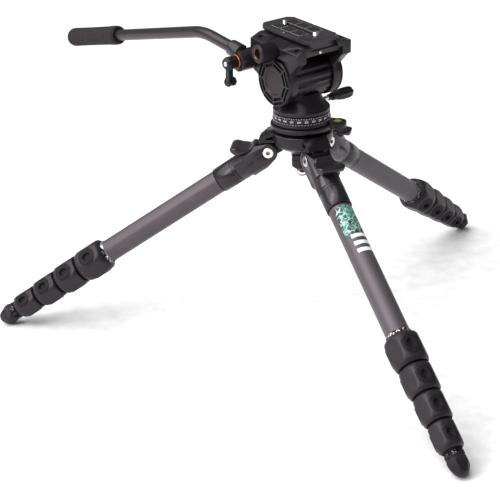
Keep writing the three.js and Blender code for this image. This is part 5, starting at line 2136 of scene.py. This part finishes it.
@dataclass
class Handle:
    """Pan handle: clamp, bent tube, foam grip and the locking lever.

    Attributes:
        bench: where pieces are made.
        head: the head it is clamped to.
        tube_radius: handle tube, mm.
        side_reach: distance of the tube from the pan axis, sideways, mm.
        rise: climb of the short straight, degrees.
        drop: fall of the long straight, degrees.
        short: length of the short straight, mm.
        long: length of the long straight, mm.
        bend: how far before and after the corner the tube curves, mm.
        grip_length: foam grip, mm.
        rosette_teeth: teeth of the angle rosette.
    """

    bench: Bench
    head: Head
    tube_radius: float = 8.2
    side_reach: float = 60.2
    rise: float = 4.9
    drop: float = 15.7
    short: float = 84
    long: float = 359
    bend: float = 22
    grip_length: float = 134.0
    rosette_teeth: int = 36

    def __post_init__(self) -> None:
        """Finds the rosette and the line that the handle follows."""
        inverse = self.head.place.matrix.inverted()
        pivot = inverse @ Vector(self.bench.joints["handle_angle"]["pos_m"]) / MILLIMETRE
        self.rosette = Vector((0, pivot.y, pivot.z))
        rise, drop = math.radians(self.rise), math.radians(self.drop)
        self.first = Vector((0, -math.cos(rise), math.sin(rise)))
        self.second = Vector((0, -math.cos(drop), -math.sin(drop)))
        self.start = Vector((self.side_reach, pivot.y - 5, pivot.z + 10))
        self.corner = self.start + self.first * self.short
        self.end = self.corner + self.second * self.long

    def build(self) -> None:
        """Makes every piece of the handle."""
        self.clamp()
        self.rosette_ring()
        self.tube()
        self.grip()
        self.lever()

    def clamp(self) -> None:
        """Clamp with its hub and the sleeve for the tube."""
        place, node, slot = self.head.place, "handle_clamp", "handle_metal"
        form = self.bench.copied(node, place)
        finishes = [HANDLE_METAL]
        self.bench.piece("clamp", form, place, finishes, "handle", [node], slot, bevel=0.7, crease=28)

    def rosette_ring(self) -> None:
        """Radial teeth between the yoke's boss and the clamp."""
        place = self.head.place.shifted(0, self.rosette.y, self.rosette.z)

        def teeth(reach: float, z: float, angle: float) -> float:
            """Ridges on the rim of the ring.

            Args:
                reach: radius so far.
                z: height along the axis.
                angle: turn about it.

            Returns:
                The radius there.
            """
            if reach < 13:
                return reach
            return reach - 0.5 * (0.5 + 0.5 * math.cos(self.rosette_teeth * angle))

        profile = [(4, 50.6), (13.9, 50.6), (13.9, 51.9), (4, 51.9)]
        form = Form().turned(profile, self.rosette_teeth * 4, teeth).along((1, 0, 0))
        self.bench.piece("rosette", form, place, [DARK_JOINT_AND_SHADE], "tilt")

    def tube(self) -> None:
        """Bent handle tube."""
        place = self.head.place
        entry = self.start + self.first * 6.3
        bend_in = self.corner - self.first * self.bend
        bend_out = self.corner + self.second * self.bend
        points = [entry]
        for k in range(17):
            t = k / 16
            points.append(bend_in.lerp(self.corner, t).lerp(self.corner.lerp(bend_out, t), t))
        points.append(self.end - self.second * 34)
        form = Form().swept(points, self.tube_radius, 48)
        node, slot = "handle_tube", "handle_metal"
        self.bench.piece("handle_bar", form, place, [HANDLE_METAL], "handle", [node], slot, crease=60)

    def grip(self) -> None:
        """Foam grip with a raised cuff, a rounded end and a plain ring in front."""
        length = self.grip_length
        place = self.head.place.shifted(*(self.end - self.second * length)).facing(self.second)
        bore = self.tube_radius + 0.3
        outside = [(12.6, 0), (14.0, 2.4), (14.2, 12), (14.1, 19), (13.1, 21.5), (13.7, 24)]
        outside += [(13.7, 60), (13.8, 100), (14.0, 124), (13.6, 129.6), (12.2, 132.8), (9.6, 133.9)]
        skin = smooth_rows(outside, 150)
        profile = [(bore, 0)] + skin + [(0, length), (0, 102), (bore, 102)]

        def ribs(reach: float, z: float, angle: float) -> float:
            """A shallow spiral wave along the middle.

            Args:
                reach: radius so far.
                z: height along the axis.
                angle: turn about it.

            Returns:
                The radius there.
            """
            if reach < 11:
                return reach
            wave = 0.5 + 0.5 * math.cos(z * TURN / 9.5 + 2 * angle)
            return reach - 0.35 * wave**3 * swell(z, 26, 34) * swell(z, length - 6, length - 14)

        form = Form().turned(profile, 72, ribs)
        node = "handle_grip"
        self.bench.piece("grip", form, place, [GRIP_FOAM], "handle", [node], "foam", crease=45)
        ring = [(8.25, -2.4), (12.2, -2.4), (12.6, -1.6), (12.6, -0.15), (8.25, -0.15)]
        trim = Form().turned(eased(ring, 0.3), 48)
        self.bench.piece("grip_trim", trim, place, [PLASTIC], "handle", slot="knob_plastic")

    def lever(self) -> None:
        """Locking lever with its washer and screw."""
        node = "handle_clamp_lever"
        place = self.head.place.shifted(0, self.rosette.y, self.rosette.z)
        low, high = self.bench.span(node, place)
        hub, boss = 9.0, 6.6
        start, end = low.x, high.x
        profile = [(0, start), (hub, start), (hub, end - 4), (hub - 2, end - 0.6)]
        profile += [(5.2, end), (4.6, end - 1.2), (0, end - 1.2)]
        form = Form().turned(eased(profile, 0.5), 64, self._scallops(hub - 0.6, 10, 0.35))
        form.along((1, 0, 0))
        tip = low.z + boss
        blade = [(-4.3, 0), (-3.7, tip * 0.5), (-4.3, tip), (4.3, tip), (3.7, tip * 0.5), (4.3, 0)]
        form.add(Form().prism(blade, start + 8, start + 15, Axis.X))
        knob = [(0, start + 3), (boss - 1.2, start + 3), (boss, start + 5), (boss - 0.9, start + 10)]
        knob += [(boss, start + 15), (boss - 1.4, start + 17), (3.2, start + 17)]
        knob += [(2.6, start + 15.6), (0, start + 15.6)]
        finger = Form().turned(eased(knob, 0.5), 60, self._scallops(boss - 1.5, 6, 0.6))
        form.add(finger.along((1, 0, 0)).at(0, 0, tip))
        slot = "knob_plastic"
        self.bench.piece("lever", form, place, [PLASTIC], node, [node], slot, bevel=0.7, crease=32)
        head = [(0, end - 2), (3.6, end - 2), (3.6, end - 0.9), (3.0, end - 0.2), (0, end - 0.05)]
        screw = Form().turned(eased(head, 0.25), 32)
        screw.cut(block((-0.5, 0.5), (-4, 4), (end - 1.0, end + 1))).along((1, 0, 0))
        self.bench.piece("lever_screw", screw, place, [STEEL], node, slot="steel")
        near, far = self.bench.span("handle_clamp", place)[1].x + 0.05, start - 0.1
        washer = Form().turned(eased([(4, near), (9.6, near), (9.6, far), (4, far)], 0.3), 48)
        washer.along((1, 0, 0))
        self.bench.piece("lever_washer", washer, place, [WASHER], "handle", slot="steel")

    @staticmethod
    def _scallops(least: float, count: int, depth: float) -> RadiusRule:
        """Radius rule that presses scallops into a rim.

        Args:
            least: radius above which it acts.
            count: scallops around.
            depth: their depth.

        Returns:
            The rule.
        """

        def rule(reach: float, z: float, angle: float) -> float:
            """Presses the rim in.

            Args:
                reach: radius so far.
                z: height along the axis.
                angle: turn about it.

            Returns:
                The radius there.
            """
            if reach <= least:
                return reach
            return reach - depth * max(0.0, math.cos(count * angle))

        return rule


# ---------------------------------------------------------------------------------------------
# Stage
# ---------------------------------------------------------------------------------------------


@dataclass
class Studio:
    """Pale floor, soft light and the camera.

    Attributes:
        bench: gives the joints that the camera is set from.
        azimuth: side that the camera looks from, degrees.
        elevation: height of the camera above the horizon, degrees.
        roll: turn of the camera about its own axis, degrees.
        distance: camera to target, m.
        lens: focal length on a 36 mm sensor, mm.
        aim: target from the pan axis and the leg hinges, m.
        floor_reach: half-size of the floor, m.
        surround: strength of the pale surround.
        key_from: where the key comes from.
        key_strength: its energy.
        key_width: its angle, degrees.
        strip_at: middle of the strip light, m.
        strip_power: its power, W.
    """

    bench: Bench
    azimuth: float = -22.3
    elevation: float = 23.9
    roll: float = -2.12
    distance: float = 2.283
    lens: float = 116.67
    aim: tuple[float, float, float] = (-0.07115, 0.02918, -0.1483)
    floor_reach: float = 30.0
    surround: float = 0.2
    key_from: tuple[float, float, float] = (-0.6, 0.06, 0.87)
    key_strength: float = 4.3
    key_width: float = 85.0
    strip_at: tuple[float, float, float] = (-1.9, -0.5, 1.9)
    strip_power: float = 34.0

    def build(self) -> None:
        """Makes the floor, the lights and the camera."""
        self.floor()
        self.lights()
        self.camera()

    def floor(self) -> None:
        """Seamless pale floor just under the feet."""
        material = Finish("pale_floor", (0.88, 0.88, 0.885), 0.6, grain=1.5, relief=0.02).material()
        form = Form().prism([(-1, -1), (1, -1), (1, 1), (-1, 1)], -0.02 / self.floor_reach, 0)
        mesh = bpy.data.meshes.new("floor")
        form.moved(Matrix.Diagonal((self.floor_reach, self.floor_reach, 1, 1)))
        form.mesh.to_mesh(mesh)
        mesh.materials.append(material)
        floor = bpy.data.objects.new("floor", mesh)
        floor.location.z = -0.0004
        bpy.context.scene.collection.objects.link(floor)

    def lights(self) -> None:
        """A wide soft key from above, one long side light and a pale surround."""
        world = bpy.data.worlds.new("surround")
        bpy.context.scene.world = world
        world.use_nodes = True
        shade = world.node_tree.nodes["Background"]
        shade.inputs["Color"].default_value = (1.0, 1.0, 1.0, 1)
        shade.inputs["Strength"].default_value = self.surround
        key = bpy.data.lights.new("key", "SUN")
        key.energy, key.angle = self.key_strength, math.radians(self.key_width)
        self._hang(key, Vector(), -Vector(self.key_from))
        strip = bpy.data.lights.new("strip", "AREA")
        strip.shape, strip.size, strip.size_y = "RECTANGLE", 0.6, 2.4
        strip.energy = self.strip_power
        spot = Vector(self.strip_at)
        self._hang(strip, spot, Vector((0, 0, 0.25)) - spot)

    @staticmethod
    def _hang(light: bpy.types.Light, spot: Vector, toward: Vector) -> None:
        """Puts a light in the scene.

        Args:
            light: the light.
            spot: where it is, m.
            toward: the way it shines.
        """
        lamp = bpy.data.objects.new(light.name, light)
        lamp.location = spot
        lamp.rotation_mode = "QUATERNION"
        lamp.rotation_quaternion = toward.to_track_quat("-Z", "Y")
        bpy.context.scene.collection.objects.link(lamp)

    def camera(self) -> None:
        """Long lens from above the front left."""
        pan = Vector(self.bench.joints["pan"]["pos_m"])
        hinge = self.bench.joints["leg_spread_front"]["pos_m"][2]
        target = Vector((pan.x + self.aim[0], pan.y + self.aim[1], hinge + self.aim[2]))
        turn, lift, roll = (math.radians(a) for a in (self.azimuth, self.elevation, self.roll))
        level = math.cos(lift)
        back = Vector((math.sin(turn) * level, -math.cos(turn) * level, math.sin(lift)))
        right = Vector((math.cos(turn), math.sin(turn), 0))
        up = back.cross(right)
        across = right * math.cos(roll) + up * math.sin(roll)
        above = up * math.cos(roll) - right * math.sin(roll)
        data = bpy.data.cameras.new("camera")
        data.lens, data.sensor_width = self.lens, 36
        data.clip_start, data.clip_end = 0.05, 100
        camera = bpy.data.objects.new("camera", data)
        camera.matrix_world = Matrix.Translation(target + back * self.distance) @ (
            Matrix((across, above, back)).transposed().to_4x4()
        )
        bpy.context.scene.collection.objects.link(camera)
        bpy.context.scene.camera = camera
        bpy.context.scene.view_settings.view_transform = "Standard"


def main() -> None:
    """Builds the whole object around the frame."""
    logging.basicConfig(level=logging.INFO, format="%(name)s: %(message)s")
    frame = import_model()
    bench = Bench(frame)
    Studio(bench).build()
    for side, lock_turn in (("left", 48.0), ("front", 0.0), ("right", 0.0)):
        Leg(bench, side, lock_turn=lock_turn, wrapped=side == "front").build()
    Hub(bench).build()
    head = Head(bench)
    head.build()
    Handle(bench, head).build()


if __name__ == "__main__":
    main()
